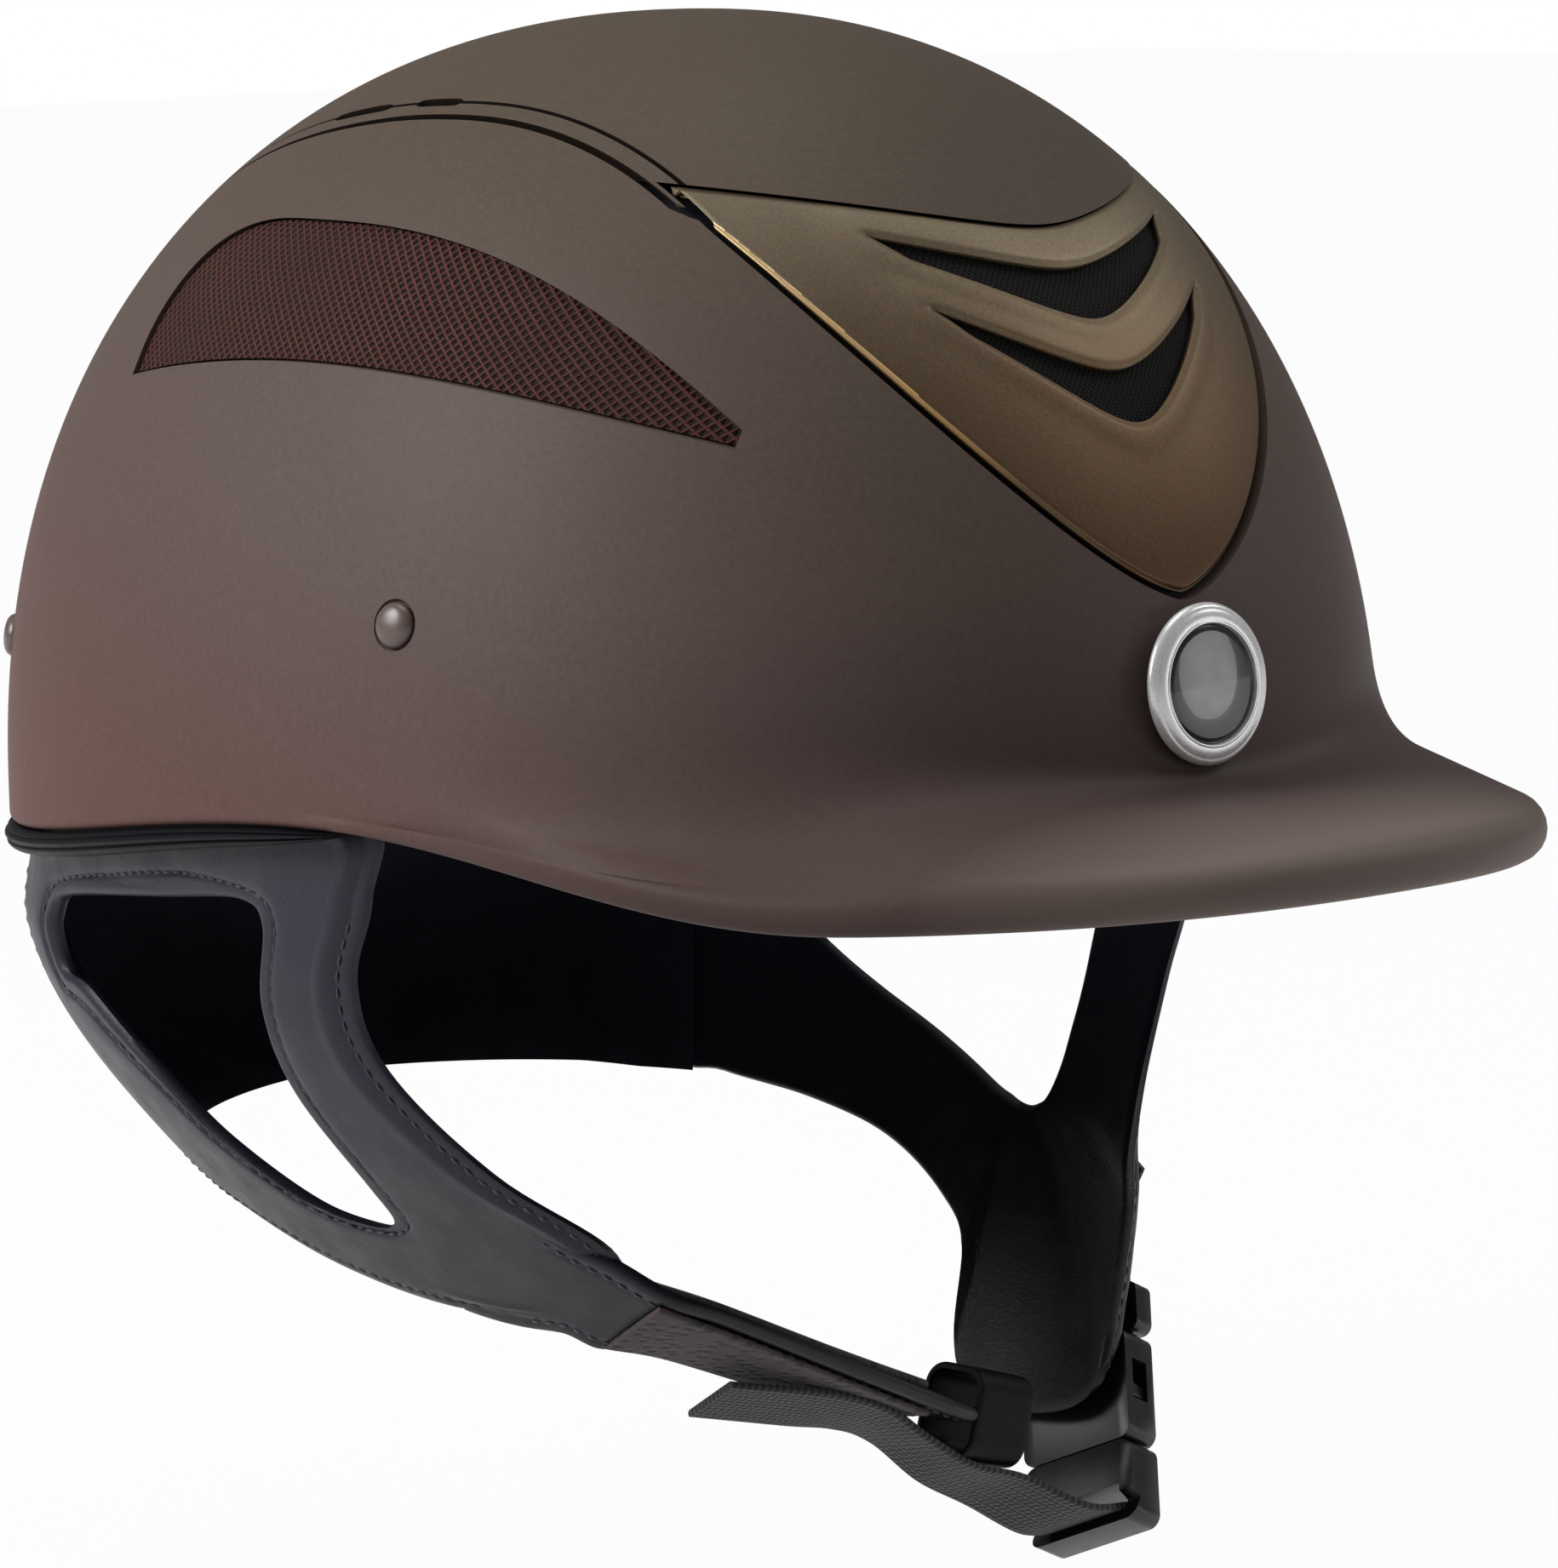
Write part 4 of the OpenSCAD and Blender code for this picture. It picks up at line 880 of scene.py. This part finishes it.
def make_badge():
    level, r, d, n = 36, 14.0, 10.22, 96
    place = Matrix.Translation((0, dome_y(0, level) - 1.2, level)) @ turned(86, "X")
    prof = [(d + 0.1, 0.02), (r - 0.4, 0.0), (r - 0.1, 0.25), (r, 0.7), (r - 0.2, 1.2), (r - 0.5, 1.6),
            (r - 0.9, 1.82), (r - 1.1, 1.78), (r - 1.3, 1.92), (d + 0.9, 2.38), (d + 0.7, 2.32), (d + 0.55, 2.44),
            (d + 0.3, 2.4), (d + 0.12, 2.0)]
    rings = [[(p[0] * cosd(360 * k / n), p[0] * sind(360 * k / n), p[1]) for p in prof] for k in range(n)]
    build("badge_ring", moved(skin(rings, loop=True), place), BRIGHT, smooth=50, slot="bright", node="badge_bezel")
    prof = [(0.01, 0.1), (d - 0.05, 0.1), (d - 0.05, 1.6), (d - 0.3, 1.8), (d - 1.2, 1.92), (d / 2, 2.1), (1.2, 2.18),
            (0.01, 2.18)]
    build("badge_plain_disc", lathe(prof, n, place), DISC, smooth=45, slot="disc", node="badge_disc")


def make_rivets():
    prof = [(0.01, -5.2), (2.0, -5.2), (2.0, -0.5), (3.9, -0.5), (4.0, -0.3), (3.95, 0.1), (3.6, 0.7), (2.9, 1.22),
            (1.9, 1.52), (0.9, 1.66), (0.01, 1.7)]
    heads = join([lathe(prof, 40, f) for f in rivet_frames()])
    build("rivets", heads, RIVET, smooth=50, slot="shell", node="shell_rivets")
    washer = NODES["rivet_washers"]
    washer.data.materials.clear()
    washer.data.materials.append(STEEL)


def make_bead():
    """Ribbed trim under the rear of the rim, thinner at its ends."""
    steps, around = 240, 40
    rings = []
    for i in range(steps + 1):
        a = mix(81.5, 278.5, i / steps)
        fade = 1 - 0.75 * abs(2 * i / steps - 1) ** 12
        n, p, z = plan_normal(a), dome_plan(a, 1.4), rim_z(a) - 0.3
        ring = []
        for k in range(around):
            b = 360 * k / around
            t = (b + 180) % 360 - 180
            rib = 1 - 0.24 * bell(t - 26, 8) - 0.28 * bell(t + 16, 9)
            out = 2.5 * cosd(b) * rib
            ring.append((p[0] + n[0] * out, p[1] + n[1] * out, z - 2.3 * fade + 2.3 * fade * sind(b)))
        rings.append(ring)
    build("rim_trim", skin(rings), RUBBER, smooth=60, slot="bead", node="rim_bead")


def make_peak_lining():
    cols, rows = 80, 8
    grids = ([], [])
    for i in range(cols + 1):
        a = np.full(rows + 1, mix(-58, 58, i / cols))
        f = np.linspace(0, max(1.0, reach(a)[0] - 2 * edge_r(a)[0] - 1.5), rows + 1)
        for grid, up in zip(grids, (0.0, 1.6)):
            grid.append(shell_at(a, f, rim_z(a) + 2 + up))
    build("peak_underside", slab(*grids), CLOTH, slot="lining", node="peak_lining")


def make_foam():
    """The same dome as the solid, with its foot rebated."""
    outer = WALL + LINER_GAP
    inner, rebated, top = outer + FOAM_T, outer + 7.6, outer + 0.3
    a = np.linspace(0, 360, 160, endpoint=False)
    c = cosd(a)
    foot = rim_z(a) + 3 + np.where(c > 0, 3 * c ** 2, 0)
    shoulder = foot + 14
    inner_top = WIDEST + CROWN - inner - FOAM_DROP
    rear = 5 * above(-c) ** 2

    def level(d, z, thicker=0.0, drop=0.0):
        p = dome_plan(a, d + thicker) * dome_r(z, d + drop)[:, None]
        return stack(p[:, 0], p[:, 1], z)

    rings = [level(inner, ring_z(foot, inner_top, k, 20), rear, FOAM_DROP) for k in range(19, -1, -1)]
    rings += [level(rebated, foot), level(rebated, shoulder)]
    rings += [level(top, ring_z(shoulder + 2, TOP - top, k, 20)) for k in range(20)]
    shape = skin(rings, [0, 0, inner_top], [0, 0, TOP - top])
    build("foam_shell", shape, FOAM, slot="foam", node="foam_liner", fill=1.0)


def pad_point(a, z, d):
    thick = PAD_AT + d
    p = dome_plan(a, thick + 5 * max(0, -cosd(a)) ** 2) * dome_r(z, thick + FOAM_DROP)
    return (*p, z)


def band_pad(name, node, start, end, low, high, ribs):
    """Padded band with sewn channels across it and a bound edge."""
    steps, around = 168, 24
    rings = []
    for i in range(steps + 1):
        s = i / steps
        a = mix(start, end, s)
        tail = abs(2 * s - 1) ** 6
        seam = abs(cosd(ribs * 180 * s)) ** 24
        t = 8 * (1 - 0.42 * seam) * (1 - 0.6 * tail)
        ring = []
        for k in range(around):
            b = 360 * k / around
            z = mix(low, high, 0.5 + 0.5 * spow(sind(b), 0.8) * (1 - 0.12 * tail))
            d = t * (0.5 - 0.5 * spow(cosd(b), 0.7))
            d *= 1 - 0.10 * bell(abs(sind(b)) - 0.86, 0.06) * (cosd(b) < 0)
            ring.append(pad_point(a, max(z, rim_z(a) - 2), d))
        rings.append(ring)
    build(name, skin(rings), CLOTH, slot="lining", node=node, fill=0.8)


def make_crown_pad():
    """Five-lobed cushion under the crown, with a ring of stitching."""
    n, m, size, thick = 120, 14, 52, 8

    def level(x, y, d):
        return dome_z(x, y, PAD_AT + d, FOAM_DROP) - 1

    def ring(share, depth, scale=1.0):
        out = []
        for i in range(n):
            a = 360 * i / n
            lobe = 1 - 0.1 * cosd(2.5 * a) ** 2
            x, y = size * share * sind(a) * lobe * scale, -size * share * cosd(a) * 1.3 * lobe * scale
            seam = 1 - 0.35 * abs(cosd(2.5 * a)) ** 20 * min(1, share * 1.6)
            out.append((x, y, level(x, y, depth * seam)))
        return out

    rings = [ring(k / m, 0) for k in range(1, m + 1)]
    for k in range(m, 0, -1):
        u = k / m
        deep = thick * math.sqrt(max(0.02, 1 - u ** 4)) * (1 - 0.25 * bell(u - 0.5, 0.05))
        rings.append(ring(u, deep, 0.985))
    shape = skin(rings, [0, 0, level(0, 0, 0)], [0, 0, level(0, 0, thick)])
    build("crown_cushion", shape, CLOTH, slot="lining", node="crown_pad", fill=0.8)


# Harness
def cup_at(a, z, out=0.0, side=-1):
    """Point of the harness's curved sheet, by the angle from the nape and the height."""
    s = 1 / (1 + (above(-8 - z) / 92) ** 2.2)
    tuck = 2.6 * held((z + 16) / 12) * held((95 - a) / 15)
    rho = ((np.abs(sind(a)) / (103 * s)) ** 2.25 + (np.abs(cosd(a)) / (136 * s)) ** 2.25) ** (-1 / 2.25) + out - tuck
    return stack(*np.broadcast_arrays(side * rho * sind(a), 11 + rho * cosd(a), z))


# Outlines of the ear holes and the yokes, as [angle, height, distance outward]; without a third, it is 0
RIGHT_HOLE = [(94, -7), (92.5, -22), (93, -38), (97, -56), (97.5, -63), (91, -64.5), (79, -61.5), (69, -51),
              (64, -38), (57, -26.5), (51, -24), (51.5, -13), (57, -9), (77, -5), (90, -3)]
RIGHT_EDGE = [(109, 0), (106.5, -15), (108.5, -31), (118.5, -50), (131.5, -65), (128, -79.8), (98, -80.5),
              (74, -76.5), (57, -70.5), (45, -66), (40, -58), (38.5, -24), (40, 16), (76, 16), (108, 16)]
LEFT_HOLE = [(97, -10), (97.5, -20), (98.5, -33), (101, -46), (103.2, -54), (104, -58.5), (103.6, -60.5),
             (102.5, -61.6), (101.5, -62), (100, -61.9), (98, -61.4), (95.5, -60.6), (91, -58.8), (78, -52),
             (67, -45.5), (59, -38.5), (53, -30)] + RIGHT_HOLE[-5:]
LEFT_EDGE = [(111, 0), (112, -20), (113.2, -36), (118.5, -51.5, 0.5), (126, -65.5, 3), (131.5, -77, 9),
             (137.5, -95, 18), (141, -107, 22.5), (138.3, -111.8, 17.9), (127.5, -112.4, 9.5), (116.4, -105.4, 4.6),
             (108, -87, -1), (93.5, -79), (76, -71), (60, -66), (47, -62.5), (40.5, -58), (38.5, -24), (40, 16),
             (52, 16), (80, 16), (108, 16)]
PITCH, STITCH, THREAD = 3.1, 2.0, 0.32


def stitches(paths, mat, name, slot="leather"):
    """Sewn stitches along paths of points in mm, each with its outward direction."""
    parts = []
    for P, N in paths:
        P, N = np.asarray(P, float), np.asarray(N, float)
        L = way(P)
        for s in np.arange(PITCH / 2, L[-1] - PITCH / 2, PITCH):
            ends = [np.array([np.interp(s + d, L, P[:, k]) for k in range(3)]) for d in (-STITCH / 2, STITCH / 2)]
            n = unit(np.array([np.interp(s, L, N[:, k]) for k in range(3)]))
            b = np.cross(unit(ends[1] - ends[0]), n)
            rings = []
            for u, w, h in ((0.0, 0.25, -0.5), (0.12, 0.8, 0.0), (0.5, 1.0, 0.3), (0.88, 0.8, 0.0), (1.0, 0.25, -0.5)):
                c = mix(ends[0], ends[1], u) + n * THREAD * h
                rings.append([c + THREAD * w * (b * cosd(60 * k) + n * 0.8 * sind(60 * k)) for k in range(6)])
            parts.append(skin(rings))
    build(name, join(parts), mat, smooth=0, slot=slot)


def make_yoke(side, hole, edge, word):
    n = 10 if len(hole) < 20 else 8
    A, B = (spline([(*p, 0)[:3] for p in q], n, True) for q in (hole, edge))
    thick, seam, hem, m = 3.6, 4.6, 3.6, len(A)
    s = np.concatenate([np.linspace(0, 0.30, 16), np.linspace(0.30, 0.8, 12)[1:], np.linspace(0.8, 1, 12)[1:]])
    a, z, out = np.moveaxis(mix(A[:, None], B[:, None], s[:, None]), -1, 0)
    seg = np.linalg.norm(np.diff(cup_at(a, z, out, side), axis=1), axis=2)
    T = np.concatenate([np.zeros((m, 1)), np.cumsum(seg, axis=1)], axis=1)  # way from the hole
    W = T[:, -1:]
    far = W - T

    def roll(t, r):
        u = held(t / r)
        return 1 - np.sqrt(above(1 - (1 - u) ** 2))

    # Face: rolled edges, a sewn groove beside the hole and padding beyond it
    top = -1.8 * roll(T, 1.7) - 1.8 * roll(far, 1.9)
    top -= 0.55 * bell(T - seam, 0.42) * (W > 9)
    top -= 0.22 * (T < seam) * (T > 0) * (W > 9)
    top += 0.6 * (1 - np.exp(-above(T - seam) / 1.5)) * (1 - np.exp(-above(far - 1.5) / 2)) * (W > 9)
    top -= 0.4 * bell(far - hem, 0.4) * (W > 16) * 0.6
    # Folded band inside the front edge
    fold = held((B[:, :1] - 101) / 5) * (W > 12)
    u = held((7.2 - far) / 4.5)
    top += fold * (0.3 * bell(far - 7.6, 1.1) - 1.25 * u * u * (3 - 2 * u))
    back = -thick + 1.8 * roll(T, 1.7) + 1.8 * roll(far, 1.9)
    faces = (cup_at(a, z, out + h, side) for h in (top, back))
    rings = [np.vstack([front, rear[::-1][1:-1]]) for front, rear in zip(*faces)]
    build(word + "_yoke_leather", skin(rings, loop=True), LEATHER, smooth=60, slot="leather", node=word + "_yoke")

    def line(dist, from_edge, keep):
        """Runs of a seam beside the hole or the outer edge, where it is kept."""
        pts, nor = [], []
        for i in list(range(m)) + [0]:
            u = np.interp(W[i, 0] - dist if from_edge else dist, T[i], s)
            p = mix(A[i], B[i], u)
            o = np.interp(u, s, top[i])
            if keep(p, W[i, 0]):
                on, off = (cup_at(p[0], p[1], p[2] + o + h, side) for h in (0.12, 1.12))
                pts.append(on)
                nor.append(unit(off - on))
                continue
            if len(pts) > 3:
                yield pts, nor
            pts, nor = [], []
        if len(pts) > 3:
            yield pts, nor

    runs = list(line(seam, False, lambda p, w: p[1] < 3 and w > 9))
    runs += list(line(hem, True, lambda p, w: p[1] < -3 and w > 16))
    stitches(runs, NAVY, word + "_yoke_stitching")


def make_nape():
    cols, rows, half, depth, top = 90, 26, 43, 2.4, 8.0

    def low(a):
        return mix(-59, -62, abs(a) / half)

    grids = ([], [])
    for i in range(cols + 1):
        a = mix(-half, half, i / cols)
        behind = 4.5 * held((abs(a) - 30) / 6)
        j, high = np.linspace(0, 1, rows + 1), top - low(a)
        z = mix(low(a), top, j)
        edge = np.minimum(np.minimum(j, 1 - j) * high, (half - abs(a)) * 2.2 + 0.4)
        rnd = np.sqrt(np.clip(1 - (1 - held(edge / 1.3)) ** 2, 0.02, 1))
        seam = 0.35 * bell(j * high - 5, 0.5) + 0.35 * bell((1 - j) * high - 22, 0.5)
        for grid, sgn in zip(grids, (1, -1)):
            out = sgn * depth / 2 * rnd - depth / 2 - behind - (seam if sgn > 0 else 0)
            grid.append(cup_at(np.full_like(z, abs(a)), z, out, -1 if a < 0 else 1))
    build("nape_leather", slab(*grids), LEATHER, smooth=60, slot="leather", node="nape_panel")
    seams = []
    for level in (lambda a: low(a) + 5, lambda a: top - 22):
        pts, nor = [], []
        for a in np.linspace(-29, 29, 60):
            p, q = (cup_at(abs(a), level(a), h, -1 if a < 0 else 1) for h in (-0.25, 1))
            pts.append(p)
            nor.append(unit(q - p))
        seams.append((pts, nor))
    stitches(seams, NAVY, "nape_stitching")


def ribbon(name, stations, low, high, mat, n=10, across=18, bow=0.0, edge=0.5, seams=(), slot="web", **more):
    """Strap along stations of [centre, direction across, half-width]; its layer lies between two heights."""
    c, w, h = (spline(q, n) for q in zip(*((p, d, [k]) for p, d, k in stations)))
    h = h[:, 0]
    last = len(c) - 1
    t = unit(np.array([c[min(i + 1, last)] - c[max(i - 1, 0)] for i in range(last + 1)]))
    L = way(c)
    rings, uvs = [], []
    half, mid = (high - low) / 2, (high + low) / 2
    q = np.sin(np.linspace(-np.pi / 2, np.pi / 2, across + 1))
    acr = unit(w - t * np.sum(w * t, -1, keepdims=True))
    out = unit(np.cross(t, acr))
    for i in range(last + 1):
        ring = []
        for sgn in (1, -1):
            for qq in (q if sgn > 0 else q[::-1][1:-1]):
                d = (1 - abs(qq)) * h[i]
                r = max(0.04, 1 - (1 - min(1, d / max(edge, 0.01))) ** 2) ** 0.5
                k = half * r + bow * (1 - qq * qq) * (sgn > 0)
                for at, deep in seams:
                    k -= deep * bell(d - at, 0.4)
                ring.append(c[i] + acr[i] * qq * h[i] + out[i] * (mid + sgn * k))
                uvs.append((L[i], qq * h[i]))
        rings.append(ring)
    uvs += [(L[0], 0), (L[-1], 0)]
    ob = build(name, skin(rings), mat, smooth=55, uv=uvs, slot=slot, **more)
    return ob, c, acr, out, h


# The chin strap from the yoke to the keeper, and the buckle's place, lean, strap level and half length
CHIN = [([-56.4, -40.7, -76.2], [0, 0.89, -0.45], 12), ([-45, -44, -80.4], [0, 0.93, -0.37], 11.5),
        ([-21, -47, -90.8], [0, 0.95, -0.3], 10.5), ([1, -49, -99.6], [0, 0.985, -0.17], 9.5),
        ([11, -50, -102.9], [0, 1, -0.06], 7.5), ([20, -50, -105.6], [0, 1, 0], 5)]
AT = np.array([51.2, -45, -120.7])
LEAN = turned(2.3, "Z", 3) @ turned(26.1, "Y", 3) @ turned(-24.8, "X", 3)
RISE, PLUG = 8.2 / 2 - 1.1, 16.0


def bp(x, y, z):
    return AT + np.array(LEAN @ Vector((x, y, z)))


ACROSS = np.array(LEAN @ Vector((0, 1, 0)))


def make_chin_strap():
    lead = []
    for a, z, b, low, out in ((116, -47, 98, -79, -4.6), (122, -54.5, 109, -80.4, -3.5), (129, -62, 120, -81.2, -2.75)):
        u, d = cup_at(a, z, out), cup_at(b, low, out)
        lead.append(((u + d) / 2, unit(d - u), np.linalg.norm(d - u) / 2 - 1.5))
    _, c, acr, out, h = ribbon("chin_strap_leather", lead + CHIN, -STRAP_T, 0, LEATHER, slot="leather",
                               node="chin_strap", edge=1.2, seams=((3.2, 0.3),), n=14, across=40)
    runs = []
    for sgn in (1, -1):
        for face, off in ((1, 0.0), (-1, -STRAP_T)):
            pts = [c[i] + acr[i] * sgn * (h[i] - 3.2) + out[i] * (off + face * -0.1) for i in range(18, len(c) - 4)]
            runs.append((pts, [face * o for o in out[18:-4]]))
    stitches(runs, NAVY, "chin_strap_stitching")
    ribbon("chin_cushion_pad", [(c, w, h - 3.5) for c, w, h in CHIN[:4]], GAP, GAP + 2, CLOTH, slot="lining",
           node="chin_cushion", fill=0.7, edge=1.5, bow=0.5, n=14, across=24)
    under = -STRAP_T - GAP
    patch = [(c, w, h - 2) for c, w, h in CHIN[:4]]
    ribbon("loop_patch_cloth", patch, under - 1, under, CLOTH, n=12, node="loop_patch")


def make_webbing():
    web = [([-40, -42, -95.0], [0, 0.86, -0.5], 7.5), ([-20, -45.5, -99.4], [0, 0.87, -0.48], 8),
           ([-8, -46.5, -103.0], [0, 0.93, -0.36], 8), ([1, -47, -108.2], [0, 0.98, -0.2], 8),
           ([11, -48.5, -115.8], [0, 0.95, -0.32], 8.2), ([22, -50, -120.9], [-0.05, 0.9, -0.42], 8.6),
           ([35, -52, -128.2], [-0.15, 0.9, -0.4], 9), (bp(0, 0, 4.2 - PLUG), ACROSS, 9)]
    ob, *_ = ribbon("chin_webbing_strap", web, -0.7, 0.7, WEB, n=14, across=16, body=None, node="chin_webbing")
    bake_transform(ob)
    sewn, bend = cup_at(117, -68, 8.4, 1), bp(RISE, 0, 44)
    bend_up = np.array(LEAN @ Vector((0, 0, 1)))
    rise = (sewn - bend) @ bend_up
    left = [(sewn, ACROSS, 5.6)]
    for up, aside, half in ((0.77, 0.47, 7.6), (0.42, 0.12, 9)):
        left.append((mix(bend, sewn, aside) + bend_up * rise * (up - aside), ACROSS, half))
    left += [(bp(RISE, 0, z), ACROSS, 9) for z in (44, 36, 27, 18)]
    _, c, acr, out, _ = ribbon("left_webbing_strap", left, -0.7, 0.7, WEB, n=12, across=16, node="left_webbing")
    box = [([c[k] + acr[k] * u + out[k] * 0.75 for k in range(1, 9)], out[1:9]) for u in (4.5, -4.5)]
    stitches(box, DARK, "left_webbing_stitching", slot="web")


def make_anchors():
    """Webbing from each rivet's washer down to the yoke."""
    depth = WALL + LINER_GAP + WASHER_T + GAP
    for k, (side, (y, z)) in enumerate((side, spot) for side in SIDES for spot in RIVETS):
        stations = []
        for level in np.linspace(z + 7, 16 + GAP, 5):
            flat = unit(side_normal(y, level)[:2])
            x = dome_x(y, level, depth + 0.6)
            stations.append(([side * x, y, level], [side * -flat[1], flat[0], 0], 7))
        ribbon("anchor_%d" % k, stations, -0.6, 0.6, WEB, n=6, across=12, node=None if k else "anchor_straps")


def make_keeper():
    """Broad band loop round the end of the chin strap."""
    w, h, r, t, long = 12.4, 14.2, 3.0, 1.5, 13.8
    place = Matrix.Translation((17.2, -50, -106.1)) @ turned(17, "Y")
    section = [(t * (0.5 + 0.5 * spow(cosd(q), 0.45)), long / 2 * spow(sind(q), 0.18))
               for q in np.linspace(0, 360, 40, endpoint=False)]
    rings = []
    for q in np.linspace(0, 360, 96, endpoint=False):
        cy, cz = (w / 2 - r) * np.sign(round(cosd(q), 6)), (h / 2 - r) * np.sign(round(sind(q), 6))
        rings.append([place @ Vector((x, cy + (r + d) * cosd(q), cz + (r + d) * sind(q))) for d, x in section])
    build("keeper_band", skin(rings, loop=True), RUBBER, smooth=50, slot="buckle", node="strap_keeper")


def make_buckle():
    """The CAD's own buckle parts, with rounded edges."""
    for name in ("slide_adjuster", "buckle_socket", "buckle_plug", "prong_front", "prong_rear"):
        o = NODES[name]
        o.data.materials.clear()
        o.data.materials.append(PLASTIC)
        weld = o.modifiers.new("weld", "WELD")
        weld.merge_threshold = 0.00001
        bevel = o.modifiers.new("round", "BEVEL")
        bevel.width = (0.3 if "prong" in name else 0.45) / MM
        bevel.segments = 3
        bevel.limit_method = "ANGLE"
        bevel.angle_limit = math.radians(40)
        bevel.harden_normals = True
        shade(o.data, 0)


make_shell()
make_panel()
make_badge()
make_rivets()
make_bead()
make_peak_lining()
make_foam()
band_pad("brow_cushion", "brow_pad", -88, 88, 6, 40, 6)
band_pad("nape_cushion", "nape_pad", 112, 248, 8, 44, 4)
make_crown_pad()
make_yoke(-1, RIGHT_HOLE, RIGHT_EDGE, "right")
make_yoke(1, LEFT_HOLE, LEFT_EDGE, "left")
make_nape()
make_chin_strap()
make_webbing()
make_anchors()
make_keeper()
make_buckle()

# Stage, light and camera
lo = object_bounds()[0]
me = bpy.data.meshes.new("floor")
me.from_pydata([(-6, -6, 0), (6, -6, 0), (6, 6, 0), (-6, 6, 0)], [], [(0, 1, 2, 3)])
floor = link("floor", me)
floor.location.z = lo.z - 0.003
g = Mat("floor_pale", (0.5, 0.5, 0.5), 0.9, spec=0.1)
ray = g.node("LightPath")
seen = g.math("MAXIMUM", ray.outputs["Is Camera Ray"], ray.outputs["Is Glossy Ray"])
seen = g.math("MAXIMUM", seen, ray.outputs["Is Transmission Ray"])
glow = g.node("Emission", {"Color": (1, 1, 1), "Strength": 1.0})
mixer = g.node("MixShader", {0: g.times(seen, 0.97), 1: g.b.outputs[0], 2: glow.outputs[0]})
g.t.links.new(mixer.outputs[0], g.t.nodes["Material Output"].inputs[0])
me.materials.append(g.m)
floor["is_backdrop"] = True

world = bpy.data.worlds.new("studio")
SCENE.world = world
world.use_nodes = True
w = Nodes(world.node_tree, "Background")
w.set("Color", (1, 1, 1))
ray = w.node("LightPath")
seen = w.math("MAXIMUM", ray.outputs["Is Camera Ray"], ray.outputs["Is Transmission Ray"])
w.set("Strength", w.node("MapRange", {"Value": seen, "To Min": 0.19, "To Max": 1.0}).outputs[0])


def area(name, where, size, power):
    """Disk light that looks at the helmet."""
    lamp = bpy.data.lights.new(name, "AREA")
    lamp.shape = "DISK"
    lamp.size = size
    lamp.energy = power
    ob = link(name, lamp)
    ob.location = where
    ob.rotation_euler = (Vector((0, 0, 0.03)) - Vector(where)).to_track_quat("-Z", "Y").to_euler()


area("key_left", (-1.25, 0.5, 0.85), 0.9, 22)
area("right", (1.2, -0.7, 1.1), 0.7, 6)
area("top", (0.1, 0.1, 1.7), 1.2, 7.5)
area("card", (1.3, -1.5, 0.1), 0.5, 1.6)

# The camera's place, solved from the helmet in the photograph
PHOTO_W, PHOTO_H, PX_PER_MM, SENSOR = 1830, 1842, 6.39, 36
AIM, AIM_X, AIM_Y = Vector((0, 0, 0.032)), 829.3, 768.2  # a point, and where the photograph shows it
AZIMUTH, ELEVATION, ROLL = map(math.radians, (-41.23, 6.57, -1.35))
DISTANCE = 1.3467
right, ahead = Vector((math.cos(AZIMUTH), math.sin(AZIMUTH), 0)), Vector((-math.sin(AZIMUTH), math.cos(AZIMUTH), 0))
back = Vector((0, 0, math.sin(ELEVATION))) - ahead * math.cos(ELEVATION)
up = back.cross(right)
right, up = right * math.cos(ROLL) + up * math.sin(ROLL), up * math.cos(ROLL) - right * math.sin(ROLL)
focal = PX_PER_MM * DISTANCE * MM
look = (-back + right * ((PHOTO_W / 2 - AIM_X) / focal) - up * ((PHOTO_H / 2 - AIM_Y) / focal)).normalized()
side_x = (right - look * right.dot(look)).normalized()
side_y = side_x.cross(look)
cam = bpy.data.cameras.new("camera")
cam.sensor_width = SENSOR
cam.lens = focal / PHOTO_H * SENSOR
cam.clip_start, cam.clip_end = 0.05, 50
camera = link("camera", cam)
m = Matrix((side_x, side_y, -look)).transposed().to_4x4()
m.translation = AIM + back * DISTANCE
camera.matrix_world = m
SCENE.camera = camera
SCENE.view_settings.view_transform = "Standard"

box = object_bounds()
[[list(map(float, c)) for c in b] for b in (cad_box, box)]
